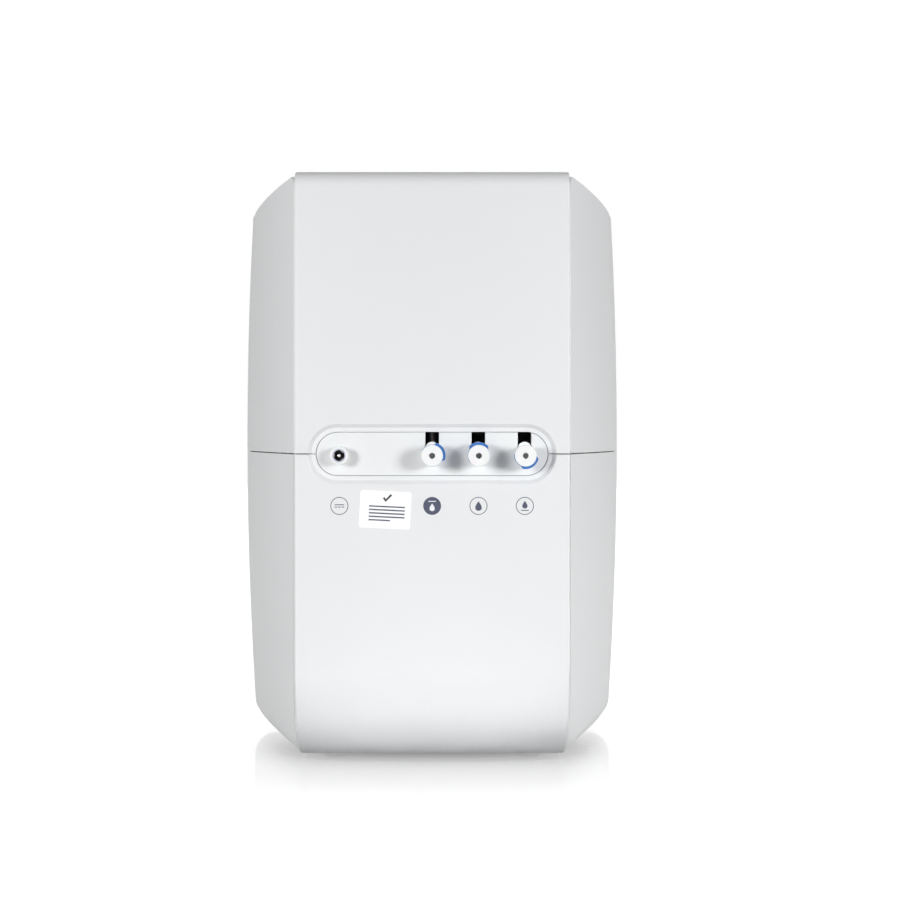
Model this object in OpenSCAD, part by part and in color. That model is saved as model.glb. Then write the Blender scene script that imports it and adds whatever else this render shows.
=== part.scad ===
/* [Casing] */
// Height of the casing without its feet
casing_h = 420; // [400:1:470]
// Width of the flat band that wraps the casing front to back
band_w = 193; // [180:1:215]
// Width of the casing at its widest upright edge
front_w = 303; // [290:1:330]
// Depth of the two casing shells behind the front cover
shell_d = 178; // [172:1:220]
// Depth of the front cover's rim
cover_rim = 16; // [14:1:26]
// Wall thickness of shells and cover
wall = 3; // [2.4:0.1:3.6]
// How far the band stands proud of the side panels at the back
band_rise = 2; // [1:0.1:3]
// How far the band stands above the side panels at the top
band_top_step = 4.5; // [3:0.1:7]
// How far the band hangs below the side panels
band_low_step = 3; // [2:0.1:4]
// Width of the narrow ledge where a side panel starts beside the band
side_ledge = 0.5; // [0.3:0.1:1.5]
// Radius of the upper back edge
rear_top_r = 11; // [9:0.5:18]
// Radius of the lower back edge
rear_low_r = 70; // [40:1:76]
// Bulge of each side panel, seen from above
side_bulge = 3.3; // [1.5:0.1:5]
// Radius of the upright bow of each side panel
bow_r = 3440; // [2600:20:6000]
// Height of the widest line of the bow above the casing's bottom
bow_h = 232; // [200:1:260]
// Radius of the lower edge of each side panel
low_edge_r = 17; // [12:1:34]
// Radius of the bulge of the front, seen from above
front_r = 1000; // [800:10:1600]
// Height of the seam between the shells above the casing's bottom
seam_h = 221.4; // [214:0.2:230]
// Open width of the seams
seam_gap = 0.6; // [0.3:0.1:1]
// Length of the hidden lips that overlap at the seams
lip_h = 3; // [2:0.5:4]
// Clearance around the hidden lips
lip_clear = 0.15; // [0.1:0.05:0.4]

/* [Feet] */
// Radius of a rubber foot
foot_r = 9; // [7:0.5:12]
// Height of the feet below the casing
foot_h = 3; // [2:0.5:6]
// Depth of the pocket that holds a foot
foot_seat = 1.5; // [1:0.1:2]
// Distance of the feet from the middle plane
foot_x = 72; // [60:1:80]
// Depth of the back feet behind the band's face
foot_rear_d = 88; // [86:1:96]
// Depth of the front feet behind the band's face
foot_front_d = 160; // [140:1:164]

/* [Port recess] */
// Half height of the recess where it opens in the band
recess_r = 21; // [20:0.5:24]
// Half length of the straight part of the recess
recess_half = 66; // [64:0.5:70]
// Width of the sloped ring around the recess
recess_slope = 2.6; // [1.5:0.1:3]
// Width of the flat ring inside the slope
recess_land = 3; // [2:0.1:3.4]
// Depth of the flat ring below the band's face
recess_deep = 2.5; // [1.5:0.1:4]
// Thickness of the pad behind the flat ring
pad_t = 3; // [2.5:0.1:5]
// Gap around the port panel
panel_gap = 0.3; // [0.2:0.05:0.6]
// How far the panel's face lies below the flat ring
panel_set = 0.6; // [0.2:0.1:1.5]
// Width of the hidden flange around the panel
panel_flange = 3.5; // [2.5:0.1:4]
// Thickness of the panel's flange
flange_t = 2.5; // [2:0.1:4]

/* [Water ports] */
// Spacing of the ports along the panel
port_pitch = 32.4; // [30:0.1:34]
// How far the port axes lie below the seam
port_drop = 1.1; // [0:0.1:3]
// Radius of the fitting's neck in the panel's notch
neck_r = 4.6; // [4.4:0.1:5]
// Clearance of the neck in its notch
neck_clear = 0.2; // [0.1:0.05:0.4]
// Radius of the fitting outside the panel
fitting_r = 6.8; // [6.4:0.1:7.2]
// How far the fitting stands out of the band's face
fitting_proud = 4; // [3:0.1:6]
// Length of the fitting inside the casing
fitting_inner = 22; // [20:0.5:24]
// Outer radius of the collet's sleeve
collet_r = 4.8; // [4.5:0.1:5.2]
// Radius of the collet's flange
collet_flange_r = 6.2; // [5.8:0.1:6.6]
// Thickness of the collet's flange
collet_flange_t = 1.6; // [1:0.1:2.2]
// Thickness of a locking clip
clip_t = 2.1; // [1.6:0.1:2.6]
// Free play of a clip between collet and fitting
clip_slack = 0.15; // [0.1:0.05:0.3]
// Outer radius of a clip
clip_r = 7.7; // [7.2:0.1:8.2]
// Radius of a clip's thumb tab
clip_tab_r = 9.4; // [8.8:0.1:10.5]
// Length of a clip's legs past the port's axis
clip_leg = 5; // [3:0.1:6]
// Directions in which the three clips pull off
clip_angles = [25, 90, -57]; // [-180:1:180]
// Radius of a shipping plug's head
plug_head_r = 7.5; // [7:0.1:8]
// Thickness of a shipping plug's head
plug_head_t = 3; // [2:0.1:4]
// Gap between a plug's head and the collet
plug_gap = 0.8; // [0.4:0.1:1.5]
// Length of a plug's stem
plug_stem = 15; // [13:0.5:16]
// Radius of the blind hole in a plug
plug_hole_r = 2; // [1.5:0.1:2.4]
// Outer radius of the quarter inch water tube
tube_r = 3.175; // [3:0.005:3.3]
// Radial clearance of tube and plug in their bores
bore_clear = 0.1; // [0.06:0.01:0.15]

/* [Power inlet] */
// Outer radius of the inlet's shell
jack_r = 6.3; // [6:0.1:7]
// How far the inlet stands out of the band's face
jack_proud = 5; // [2:0.5:8]
// Radius of the inlet's neck in the panel
jack_neck_r = 5.4; // [5.2:0.1:5.6]
// Radius of the black insert in the inlet
jack_insert_r = 4.5; // [4.3:0.1:4.7]
// Radius of the hole that takes the power plug
jack_bore_r = 3.8; // [3.4:0.1:4]
// Radius of the contact pin
jack_pin_r = 1.05; // [0.8:0.05:1.3]

/* [Frame] */
// Depth of the frame's upright plate behind the band's face
frame_d = 100; // [98:0.5:104]
// Thickness of the frame
frame_t = 3; // [2.5:0.1:4]
// Half width of the frame
frame_half = 108; // [106:0.5:110]
// Height of the frame's floor above the casing's bottom
frame_floor_h = 13; // [12:0.5:16]
// Distance of the frame's top shelf below the casing's top
shelf_drop = 27; // [25:0.5:34]

/* [Filters] */
// Radius of a filter cartridge
filter_r = 38; // [34:0.5:39]
// Spacing of the cartridges
filter_pitch = 84; // [81:0.5:85]
// Gap between the cartridges and the frame's plate
filter_gap = 6; // [4:0.5:7]
// Room under the cartridges for taking them down
filter_drop = 18; // [14:0.5:24]
// Wall thickness of a cartridge
filter_wall = 2.5; // [2:0.1:3.5]
// Radius of a cartridge's neck
filter_neck_r = 18.9; // [17:0.1:20]
// Radial clearance of the neck in its head
filter_clear = 0.1; // [0.06:0.01:0.2]
// Height of a cartridge head
head_h = 32; // [30:0.5:36]
// Height of the manifold's bar
bar_h = 18; // [17:0.5:22]

/* [Pump] */
// Depth of the pump's axis behind the band's face
pump_d = 56; // [52:0.5:60]
// Height of the pump's axis above the casing's bottom
pump_h = 73; // [68:0.5:80]
// Radius of the motor
motor_r = 28; // [26:0.5:29]
// Length of the motor
motor_len = 80; // [76:1:90]
// Length of the pump's crank housing
crank_len = 32; // [30:0.5:36]
// Length of the pump's head
head_len = 22; // [20:0.5:26]
// Offset of the eccentric
eccentric = 2; // [1:0.1:2.2]
// Radius of the motor's shaft
shaft_r = 3; // [2.5:0.1:3.5]
// Radial clearance of shaft and bearings
bearing_clear = 0.02; // [0.01:0.01:0.05]

/* [Valves and board] */
// Distance of the solenoid valves from the middle plane
valve_x = 66; // [64:0.5:68]
// Height of the solenoid valves above the casing's bottom
valve_h = 147; // [144:0.5:150]
// Lift of a valve's plunger
valve_lift = 3; // [2:0.1:4]
// Height of the flow meter above the casing's bottom
meter_h = 250; // [248:0.5:256]
// Width of the control board
board_w = 140; // [120:1:146]
// Height of the control board
board_h = 92; // [80:1:96]
// Height of the control board's middle above the casing's bottom
board_mid_h = 305; // [303:0.5:310]

/* [Front controls] */
// Distance of the display and buttons below the casing's top
control_drop = 52; // [48:0.5:56]
// Width of the display window
lens_w = 64; // [50:1:72]
// Height of the display window
lens_h = 22; // [16:1:24]
// Thickness of the display window
lens_t = 3.2; // [2.6:0.1:3.6]
// Radius of a button
button_r = 6.5; // [5:0.1:7]
// Distance of the buttons from the middle plane
button_x = 50; // [46:0.5:52]
// Travel of a button
button_travel = 1.2; // [0.8:0.1:1.4]

/* [Hidden] */
$fn = 96;
// Facets of a full turn of the large arcs
arc_fn = 720;
// A length past every side of the casing
far = 500;
// A short overlap that joins solids
bite = 1;
white = "#f1f2f3";
pale = "#e6e8e9";
ink = "#202226";
blue = "#2f6dc0";
metal = "#b9bcc0";

// Heights of the casing, measured from the ground
low_z = foot_h;
top_z = foot_h + casing_h;
seam_z = low_z + seam_h;
bow_z = low_z + bow_h;

// Plan of the side panels: an arc from the band's edge to the widest edge
widest_d = shell_d + cover_rim;
near_p = [band_w / 2 + side_ledge, band_rise];
wide_p = [front_w / 2, widest_d];
chord = norm(wide_p - near_p);
side_r = (chord * chord / 4 + side_bulge * side_bulge) / (2 * side_bulge);
out_n = [wide_p[1] - near_p[1], near_p[0] - wide_p[0]] / chord;
side_c = (near_p + wide_p) / 2 - out_n * (side_r - side_bulge);
near_a = atan2(near_p[1] - side_c[1], near_p[0] - side_c[0]);
front_sag = front_r - sqrt(front_r * front_r - front_w * front_w / 4);
front_d = widest_d + front_sag;

// Recess and panel
land_r = recess_r - recess_slope;
hole_r = land_r - recess_land;
pad_r = recess_r + wall;
pad_d = recess_deep + pad_t;
panel_d = recess_deep + panel_set;
flange_d = pad_d + flange_t;
flange_r = hole_r - panel_gap + panel_flange;
// Clearance between parts that are slid together
slip = 0.2;
// Free play under parts that rest against a stop
play = 0.1;
hook_t = 2.2;
hook_half = recess_half - recess_land - bite;

// Ports, seen along their axes; depths in front of the band's face are negative
port_z = seam_z - port_drop;
port_xs = [0, port_pitch, 2 * port_pitch];
jack_x = -2 * port_pitch;
bore_r = tube_r + bore_clear;
collet_bore_r = collet_r + bore_clear;
clip_room = clip_t + 2 * clip_slack;
collet_in_d = -fitting_proud - clip_room;
collet_out_d = collet_in_d - collet_flange_t;
plug_in_d = collet_out_d - plug_gap;
plug_out_d = plug_in_d - plug_head_t;
collet_len = 6.6;
collet_end_d = collet_in_d + collet_len;
seal_free = 0.02;
seal_side = 0.3;
seal_r = (collet_bore_r - tube_r) / 2 - seal_free;
seal_d = collet_end_d + seal_r + seal_side;
collet_bore_d = seal_d + seal_r + seal_side;
stop_d = plug_in_d + plug_stem + 3 * slip;
fitting_end_d = flange_d + fitting_inner;
socket_deep = 10;
way_r = 2;
// Rise of the key that stops a fitting turning in its notch
key_rise = 5;
collar_out = 1.2;
collar_t = 4;
tab_side = 1.2;

// The frame is centred between the plugs' faces and the front
rear_y = -(front_d + plug_out_d) / 2;

// Frame and filters
floor_z = low_z + frame_floor_h;
shelf_z = top_z - shelf_drop;
plate_end_d = frame_d + frame_t;
filter_d = plate_end_d + filter_gap + filter_r;
bar_z = shelf_z - bar_h;
head_z = bar_z - head_h;
neck_room = 12;
filter_top_z = head_z - neck_room;
filter_low_z = floor_z + frame_t + filter_drop;
head_bore_r = filter_neck_r + filter_clear;
lug_r = filter_neck_r + 3.5;
lug_h = 5;
catch_h = 6;
filter_xs = [-filter_pitch, 0, filter_pitch];
bar_half_d = 20;
floor_end_d = filter_d + 23;
shelf_end_d = filter_d + 25;
gusset_end_d = filter_d + 3;
entry_half = 9;
lug_half = 7;
lug_free = 0.4;
bore_roof = 4;
neck_way = 4;
pipe_z = bar_z + bar_h / 2;
pipe_in = 12;
pipe_mid = 26;
meter_in = 24;
meter_x = frame_half - meter_in;
pipe_xs = [pipe_in - frame_half, -valve_x, -pipe_mid, pipe_mid, meter_x];
head_r = head_bore_r + 6;
neck_top_z = bar_z - bore_roof - bite;

// Pump, along X
pump_z = low_z + pump_h;
crank_r = motor_r + 1;
skin_t = 2.5;
disc_end = crank_len + skin_t;
pump_end = disc_end + head_len;
outlet_gap = 14;
spout_r = 6;
spout_h = 11;
outlet_x = disc_end + 2 * spout_r;
outlet_z = pump_z + crank_r + spout_h;
bearing_r = 8;
bearing_w = 6;

// Valves, meter and board on the frame's back
valve_back = 14;
valve_d = frame_d - valve_back;
valve_z = low_z + valve_h;
valve_half = [17, 12, 12];
coil_h = 34;
coil_half = [15, 12.5];
coil_roof = 4;
plunger_r = 5;
seat_z = valve_z + 4;
seat_off = 4.5;
seat_way_r = 1.2;
coil_base_z = valve_z + valve_half[2];
coil_bore_z = coil_base_z + coil_h - coil_roof;
plunger_top_z = coil_bore_z - valve_lift - bite;
meter_back = 10;
meter_d = frame_d - meter_back;
meter_z = low_z + meter_h;
board_z = low_z + board_mid_h;
board_t = 1.6;
post_h = 6;
board_d = frame_d - post_h - board_t;
post_in = 8;
post_x = board_w / 2 - post_in;
post_z = board_h / 2 - post_in;

// Front controls
control_z = top_z - control_drop;
lens_gap = 0.15;
lens_set = 0.6;
control_deep = 8;
control_t = 5.4;
control_half = button_x + 13;
control_half_z = 14;
lens_ledge = 4;
pad_back_d = front_d - control_deep;
board_room = 6.4;
board_front_d = pad_back_d - board_room;
display_half = button_x + 10;
display_half_z = control_half_z - bite;
switch_half = 3;
digit_half = 24;
digit_t = 5;
digit_half_z = 6;
button_tip = 1.4;
button_proud = 0.6;
flange_out = 2;
button_flange_t = 1.6;
seat_half_x = 9;
seat_half_z = 8;
seat_deep = 12;
corner_in = 21;
latch_x = front_w / 2 - corner_in;
latch_low = 47;
latch_zs = [low_z + latch_low, shelf_z - seat_half_x];
magnet_r = 5;
magnet_t = 3;
magnet_rim = 2;
magnet_set = 0.4;
strike_r = 6;
strike_t = 1.5;

// Screws
screw_r = 1.5;
screw_clear = 0.05;
screw_head_r = 3;
screw_head_h = 2.2;
boss_r = 4.5;
floor_screw_in = 28;
floor_screw_x = frame_half - floor_screw_in;
floor_screw_ds = [frame_d + 12, foot_front_d];
floor_screws = [for (x = [-floor_screw_x, floor_screw_x], d = floor_screw_ds) [x, d]];
shelf_screw_d = 12;
shelf_screw_ds = [filter_d - shelf_screw_d, filter_d + shelf_screw_d];
shelf_screws = [for (x = [-filter_pitch / 2, filter_pitch / 2], d = shelf_screw_ds) [x, d]];
manifold_bite = 11;
boss_bite = 8;
post_bite = 7;
lug_screw = 14;
pump_bolt_xs = [-50, 30];
pump_bolt_z = pump_z - 24;
lug_ds = [40, 88];
lug_half_d = 6;
lip_room = 0.3;
lug_w = 14;
lug_h_half = 8;
lug_joint_z = seam_z + lip_h + lip_room + slip;
lug_low_z = seam_z - lug_h_half;
lug_top_z = lug_joint_z + lug_h_half;

// Half width of the casing's inside at a depth, on the widest line
function inside_half(d) = side_c[0] + sqrt(pow(side_r, 2) - pow(d - side_c[1], 2)) - wall;
seam_lugs = [for (d = lug_ds, s = [-1, 1]) [s, d]];
function lug_x(d) = inside_half(d) - lug_w / 2 - bite;

// Solids in the depth frame
module placed() {
  translate([0, rear_y, 0]) children();
}

module rod_x(r, x0, x1) {
  translate([x0, 0, 0]) rotate([0, 90, 0]) cylinder(r = r, h = x1 - x0);
}

module rod_y(r, d0, d1) {
  translate([0, d0, 0]) rotate([-90, 0, 0]) cylinder(r = r, h = d1 - d0);
}

module rod_z(r, z0, z1) {
  translate([0, 0, z0]) cylinder(r = r, h = z1 - z0);
}

module box(x, d, z) {
  translate([x[0], d[0], z[0]]) cube([x[1] - x[0], d[1] - d[0], z[1] - z[0]]);
}

module ring_z(outer, inner, z0, z1) {
  difference() {
    rod_z(outer, z0, z1);
    rod_z(inner, z0 - bite, z1 + bite);
  }
}

module ring_x(outer, inner, x0, x1) {
  difference() {
    rod_x(outer, x0, x1);
    rod_x(inner, x0 - bite, x1 + bite);
  }
}

module seal(radius, section) {
  rotate_extrude() translate([radius, 0]) circle(r = section, $fn = 32);
}

module screw(length) {
  rod_z(screw_head_r, 0, screw_head_h);
  rod_z(screw_r, -length, bite);
}

// Points of a route with rounded corners
function unit(v) = v / norm(v);
function bend(a, b, c, r, n) = [for (i = [0:n]) let (
  p = b + unit(a - b) * r, q = b + unit(c - b) * r, t = i / n)
  (1 - t) * (1 - t) * p + 2 * t * (1 - t) * b + t * t * q];
function rounded(p, r, n) = [p[0], for (i = [1:len(p) - 2]) each bend(p[i - 1], p[i], p[i + 1], r, n),
  p[len(p) - 1]];
function heading(p, i) = unit(p[min(i + 1, len(p) - 1)] - p[max(i - 1, 0)]);
function across_of(v) = unit(cross(v, abs(v[2]) < 0.9 ? [0, 0, 1] : [1, 0, 0]));

module pipe(points, r, corner) {
  sides = 10;
  p = rounded(points, corner, 5);
  last = len(p) - 1;
  normals = [for (i = 0, n = across_of(heading(p, 0)); i <= last;
    i = i + 1, n = i <= last ? unit(n - (n * heading(p, i)) * heading(p, i)) : n) n];
  rings = [for (i = [0:last]) let (h = heading(p, i), side = cross(h, normals[i]))
    for (k = [0:sides - 1]) p[i] + r * (cos(360 * k / sides) * normals[i] + sin(360 * k / sides) * side)];
  walls = [for (i = [0:last - 1], k = [0:sides - 1]) let (a = i * sides, b = a + sides, m = (k + 1) % sides)
    each [[a + k, a + m, b + m], [a + k, b + m, b + k]]];
  ends = [[for (k = [sides - 1:-1:0]) k], [for (k = [0:sides - 1]) last * sides + k]];
  polyhedron(points = rings, faces = [for (f = concat(walls, ends)) [for (k = [len(f) - 1:-1:0]) f[k]]]);
}

// Outer form of the casing, drawn inwards by t
module side_view(rear, top, low, r_top, r_low) {
  difference() {
    translate([rear, low]) square([far - rear, top - low]);
    difference() {
      translate([rear - bite, top - r_top]) square([r_top + bite, r_top + bite]);
      translate([rear + r_top, top - r_top]) circle(r = r_top);
    }
    difference() {
      translate([rear - bite, low - bite]) square([r_low + bite, r_low + bite]);
      translate([rear + r_low, low + r_low]) circle(r = r_low);
    }
  }
}

module across(half, rear, top, low, r_top, r_low) {
  translate([-half, 0, 0])
    rotate([90, 0, 90])
    linear_extrude(2 * half) side_view(rear, top, low, r_top, r_low);
}

module flank_outline(t) {
  low = low_z + band_low_step + t;
  r = low_edge_r - t;
  corner_u = side_r - bow_r + sqrt(pow(bow_r - low_edge_r, 2) - pow(low + r - bow_z, 2));
  difference() {
    intersection() {
      translate([side_r - 1.4 * front_w, low]) square([2 * front_w, top_z]);
      translate([side_r - bow_r, bow_z]) circle(r = bow_r - t, $fn = arc_fn);
    }
    difference() {
      translate([corner_u, low - bite]) square([2 * r, r + bite]);
      translate([corner_u, low + r]) circle(r = r);
    }
  }
}

module flank(t) {
  translate([side_c[0], side_c[1], 0])
    rotate([0, 0, near_a - 20])
    rotate_extrude(angle = 60, $fn = arc_fn) flank_outline(t);
}

module front_limit(t) {
  translate([0, front_d - front_r, low_z - bite])
    cylinder(r = front_r - t, h = casing_h + 2 * bite, $fn = arc_fn);
}

module casing_form(t) {
  intersection() {
    across(front_w, band_rise + t, top_z - band_top_step - t, low_z + band_low_step + t,
      rear_top_r - band_rise - t, rear_low_r - band_low_step - t);
    flank(t);
    mirror([1, 0, 0]) flank(t);
    front_limit(band_rise + t);
  }
  intersection() {
    across(band_w / 2 - t, t, top_z - t, low_z + t, rear_top_r - t, rear_low_r - t);
    front_limit(t);
  }
}

// The part of the casing's form between two depths and two heights
module form_slice(t, d, z) {
  intersection() {
    casing_form(t);
    box([-far, far], d, z);
  }
}

// A hidden lip along a seam: the inner half of the wall
module lip(t, d, z) {
  difference() {
    form_slice(t, d, z);
    casing_form(wall);
  }
}

module stadium(r, d0, d1) {
  translate([0, d0, seam_z])
    rotate([-90, 0, 0])
    linear_extrude(d1 - d0) {
      square([2 * recess_half, 2 * r], center = true);
      translate([-recess_half, 0]) circle(r = r);
      translate([recess_half, 0]) circle(r = r);
    }
}

// Cuts the sloped ring, the flat ring and the panel's hole
module recess_cut() {
  slope = recess_slope / recess_deep;
  wide = recess_r + bite * slope;
  for (s = [-1, 1])
    translate([s * recess_half, -bite, seam_z])
      rotate([-90, 0, 0])
      cylinder(r1 = wide, r2 = land_r, h = recess_deep + bite);
  translate([-recess_half, 0, seam_z])
    rotate([90, 0, 90])
    linear_extrude(2 * recess_half)
    polygon([[-bite, -wide], [recess_deep, -land_r], [recess_deep, land_r], [-bite, wide]]);
  stadium(hole_r, 0, pad_d + bite);
}

// Hook that holds the panel's flange, up = 1 above it and -1 below it
module panel_hook(up) {
  inner = up * (hole_r - bite);
  edge = up * (flange_r + slip);
  outer = up * (pad_r + bite);
  translate([0, 0, seam_z]) {
    box([-hook_half, hook_half], [wall - bite, flange_d + slip + hook_t],
      [min(edge, outer), max(edge, outer)]);
    box([-hook_half, hook_half], [flange_d + slip, flange_d + slip + hook_t],
      [min(inner, outer), max(inner, outer)]);
  }
}

// Seat of a strike plate in a front corner
module latch_seat(side, z) {
  intersection() {
    casing_form(wall / 2);
    translate([side * latch_x, 0, z])
      box([-seat_half_x, far], [shell_d - seat_deep, shell_d], [-seat_half_z, seat_half_z]);
  }
}

module latch_seats(z) {
  for (s = [0, 1]) mirror([s, 0, 0]) latch_seat(1, z);
}

module strike_pockets(z) {
  for (s = [-1, 1])
    translate([s * latch_x, 0, z]) rod_y(strike_r + screw_clear, shell_d - strike_t, shell_d + bite);
}

module lug_block(z0, z1) {
  for (d = lug_ds)
    for (s = [0, 1]) mirror([s, 0, 0]) intersection() {
      casing_form(wall / 2);
      box([lug_x(d) - lug_w / 2 + bite, far], [d - lug_half_d, d + lug_half_d], [z0, z1]);
    }
}

module lug_holes(r, z0, z1) {
  for (p = seam_lugs) translate([p[0] * lug_x(p[1]), p[1], 0]) rod_z(r, z0, z1);
}

module upper_shell() color(white) placed() {
  low = seam_z + seam_gap / 2;
  difference() {
    union() {
      difference() {
        form_slice(0, [-far, shell_d], [low, far]);
        casing_form(wall);
        form_slice(wall / 2, [-far, far], [low - bite, lug_joint_z]);
      }
      lip(wall / 2 + lip_clear, [shell_d - bite, shell_d + seam_gap + lip_h], [lug_joint_z, far]);
      intersection() {
        stadium(pad_r, wall / 2, pad_d);
        box([-far, far], [0, far], [low, far]);
      }
      panel_hook(1);
      latch_seats(latch_zs[1]);
      lug_block(lug_joint_z, lug_top_z);
    }
    recess_cut();
    strike_pockets(latch_zs[1]);
    lug_holes(screw_r + slip, lug_joint_z - bite, lug_top_z + bite);
  }
}

module lower_shell() color(white) placed() {
  high = seam_z - seam_gap / 2;
  difference() {
    union() {
      difference() {
        form_slice(0, [-far, shell_d], [0, high]);
        casing_form(wall);
      }
      difference() {
        lip(wall / 2 + lip_clear, [-far, shell_d - bite], [high - bite, seam_z + lip_h]);
        stadium(pad_r + 2 * slip, 0, pad_d);
      }
      lip(wall / 2 + lip_clear, [shell_d - bite, shell_d + seam_gap + lip_h], [0, high]);
      intersection() {
        stadium(pad_r, wall / 2, pad_d);
        box([-far, far], [0, far], [0, high]);
      }
      panel_hook(-1);
      latch_seats(latch_zs[0]);
      intersection() {
        lug_block(lug_low_z, lug_joint_z);
        union() {
          box([-far, far], [0, far], [0, high]);
          casing_form(wall / 2 + lip_clear);
        }
      }
      for (p = floor_screws) translate([p[0], p[1], 0]) rod_z(boss_r, low_z + wall / 2, floor_z);
    }
    recess_cut();
    strike_pockets(latch_zs[0]);
    lug_holes(screw_r + screw_clear, lug_low_z + bite, lug_joint_z + bite);
    for (p = floor_screws)
      translate([p[0], p[1], 0]) rod_z(screw_r + screw_clear, low_z + wall, floor_z + bite);
    for (x = [-foot_x, foot_x], d = [foot_rear_d, foot_front_d])
      translate([x, d, 0]) rod_z(foot_r + slip, low_z - bite, low_z + foot_seat);
  }
}

module front_cover() color(white) placed() {
  rim_d = shell_d + seam_gap;
  magnet_seat = magnet_r + magnet_rim;
  ledge_x = lens_w / 2 - lens_ledge;
  ledge_z = lens_h / 2 - lens_ledge;
  difference() {
    union() {
      difference() {
        form_slice(0, [rim_d, far], [0, far]);
        casing_form(wall);
        form_slice(wall / 2, [0, rim_d + lip_h + lip_room], [0, far]);
      }
      translate([0, pad_back_d, control_z])
        box([-control_half, control_half], [0, control_t], [-control_half_z, control_half_z]);
      for (s = [0, 1], z = latch_zs) mirror([s, 0, 0]) intersection() {
        casing_form(wall / 2);
        translate([latch_x, 0, z])
          box([-magnet_seat, magnet_seat], [rim_d + magnet_set, far], [-magnet_seat, magnet_seat]);
      }
    }
    box([-lens_w / 2, lens_w / 2], [front_d - lens_t, far], [control_z - lens_h / 2, control_z + lens_h / 2]);
    box([-ledge_x, ledge_x], [0, far], [control_z - ledge_z, control_z + ledge_z]);
    for (x = [-button_x, button_x])
      translate([x, 0, control_z]) rod_y(button_r + slip, pad_back_d - bite, far);
    for (s = [-1, 1], z = latch_zs)
      translate([s * latch_x, 0, z])
        rod_y(magnet_r + screw_clear, rim_d, rim_d + magnet_set + magnet_t);
  }
}

module port_panel() color(pale) placed() {
  difference() {
    union() {
      stadium(hole_r - panel_gap, panel_d, flange_d);
      stadium(flange_r, pad_d, flange_d);
    }
    for (x = port_xs) translate([x, 0, port_z]) {
      rod_y(neck_r + neck_clear, 0, flange_d + bite);
      box([-neck_r - neck_clear, neck_r + neck_clear], [0, flange_d + bite], [0, far]);
    }
    translate([jack_x, 0, port_z]) rod_y(jack_neck_r + neck_clear, 0, flange_d + bite);
  }
}

module rubber_feet() color(ink) placed() {
  for (x = [-foot_x, foot_x], d = [foot_rear_d, foot_front_d])
    translate([x, d, 0]) rod_z(foot_r, 0, low_z + foot_seat);
}

module display_lens() color(ink) placed() {
  box([lens_gap - lens_w / 2, lens_w / 2 - lens_gap], [front_d - lens_t, front_d - lens_set],
    [control_z - lens_h / 2 + lens_gap, control_z + lens_h / 2 - lens_gap]);
}

module display_board() color("darkgreen") placed() {
  box([-display_half, display_half], [board_front_d - board_t, board_front_d],
    [control_z - display_half_z, control_z + display_half_z]);
}

module display_parts() color(ink) placed() {
  top_d = pad_back_d - button_flange_t - button_tip - button_travel - play;
  for (x = [-button_x, button_x])
    translate([x, 0, control_z])
      box([-switch_half, switch_half], [board_front_d, top_d], [-switch_half, switch_half]);
  translate([0, board_front_d, control_z])
    box([-digit_half, digit_half], [0, digit_t], [-digit_half_z, digit_half_z]);
}

module push_button(x) {
  placed() translate([x, 0, control_z]) {
    rod_y(button_r, pad_back_d - bite, front_d - x * x / (2 * front_r) + button_proud);
    rod_y(button_r + flange_out, pad_back_d - button_flange_t, pad_back_d);
    rod_y(button_r / 2, pad_back_d - button_flange_t - button_tip, pad_back_d);
  }
}

module flush_button() color(pale) push_button(-button_x);

module reset_button() color(pale) push_button(button_x);

module cover_magnets() color(metal) placed() {
  front = shell_d + seam_gap + magnet_set;
  for (s = [-1, 1], z = latch_zs)
    translate([s * latch_x, 0, z]) rod_y(magnet_r, front, front + magnet_t);
}

module strike_plates() color(metal) placed() {
  for (s = [-1, 1], z = latch_zs)
    translate([s * latch_x, 0, z]) rod_y(strike_r, shell_d - strike_t, shell_d);
}

// Push-fit fittings in the panel's notches
module fitting() {
  difference() {
    union() {
      rod_y(fitting_r, -fitting_proud, panel_d - play);
      rod_y(neck_r, panel_d - bite, flange_d + bite);
      translate([0, 0, key_rise]) rod_y(neck_r, panel_d - bite, flange_d + bite);
      rod_y(fitting_r + collar_out, flange_d + play, flange_d + collar_t);
      rod_y(fitting_r - 2 * slip, flange_d + collar_t - bite, fitting_end_d);
    }
    rod_y(collet_bore_r, -far, collet_bore_d);
    rod_y(bore_r, -far, stop_d);
    rod_y(way_r, 0, fitting_end_d);
    rod_y(bore_r, fitting_end_d - socket_deep, far);
  }
}

module port_fittings() color(white) placed() {
  for (x = port_xs) translate([x, 0, port_z]) fitting();
}

module collets() color(white) placed() {
  for (x = port_xs) translate([x, 0, port_z]) difference() {
    union() {
      rod_y(collet_flange_r, collet_out_d, collet_in_d);
      rod_y(collet_r, collet_out_d, collet_end_d);
    }
    rod_y(bore_r, -far, far);
  }
}

module port_seals() color(ink) placed() {
  for (x = port_xs)
    translate([x, seal_d, port_z])
      rotate([90, 0, 0])
      seal((collet_bore_r + tube_r) / 2, seal_r);
}

module clip(i) {
  placed() translate([port_xs[i], 0, port_z]) rotate([0, 90 - clip_angles[i], 0]) {
    d0 = collet_in_d + clip_slack;
    d1 = d0 + clip_t;
    inner = collet_r + slip;
    difference() {
      union() {
        rod_y(clip_r, d0, d1);
        intersection() {
          rod_y(clip_tab_r, d0, d1);
          box([tab_side - clip_r, clip_r - tab_side], [-far, far], [0, far]);
        }
      }
      rod_y(inner, d0 - bite, d1 + bite);
      box([-inner, inner], [d0 - bite, d1 + bite], [-far, 0]);
      box([-far, far], [d0 - bite, d1 + bite], [-far, -clip_leg]);
    }
  }
}

module inlet_clip() color(blue) clip(0);

module pure_clip() color(blue) clip(1);

module drain_clip() color(blue) clip(2);

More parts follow.
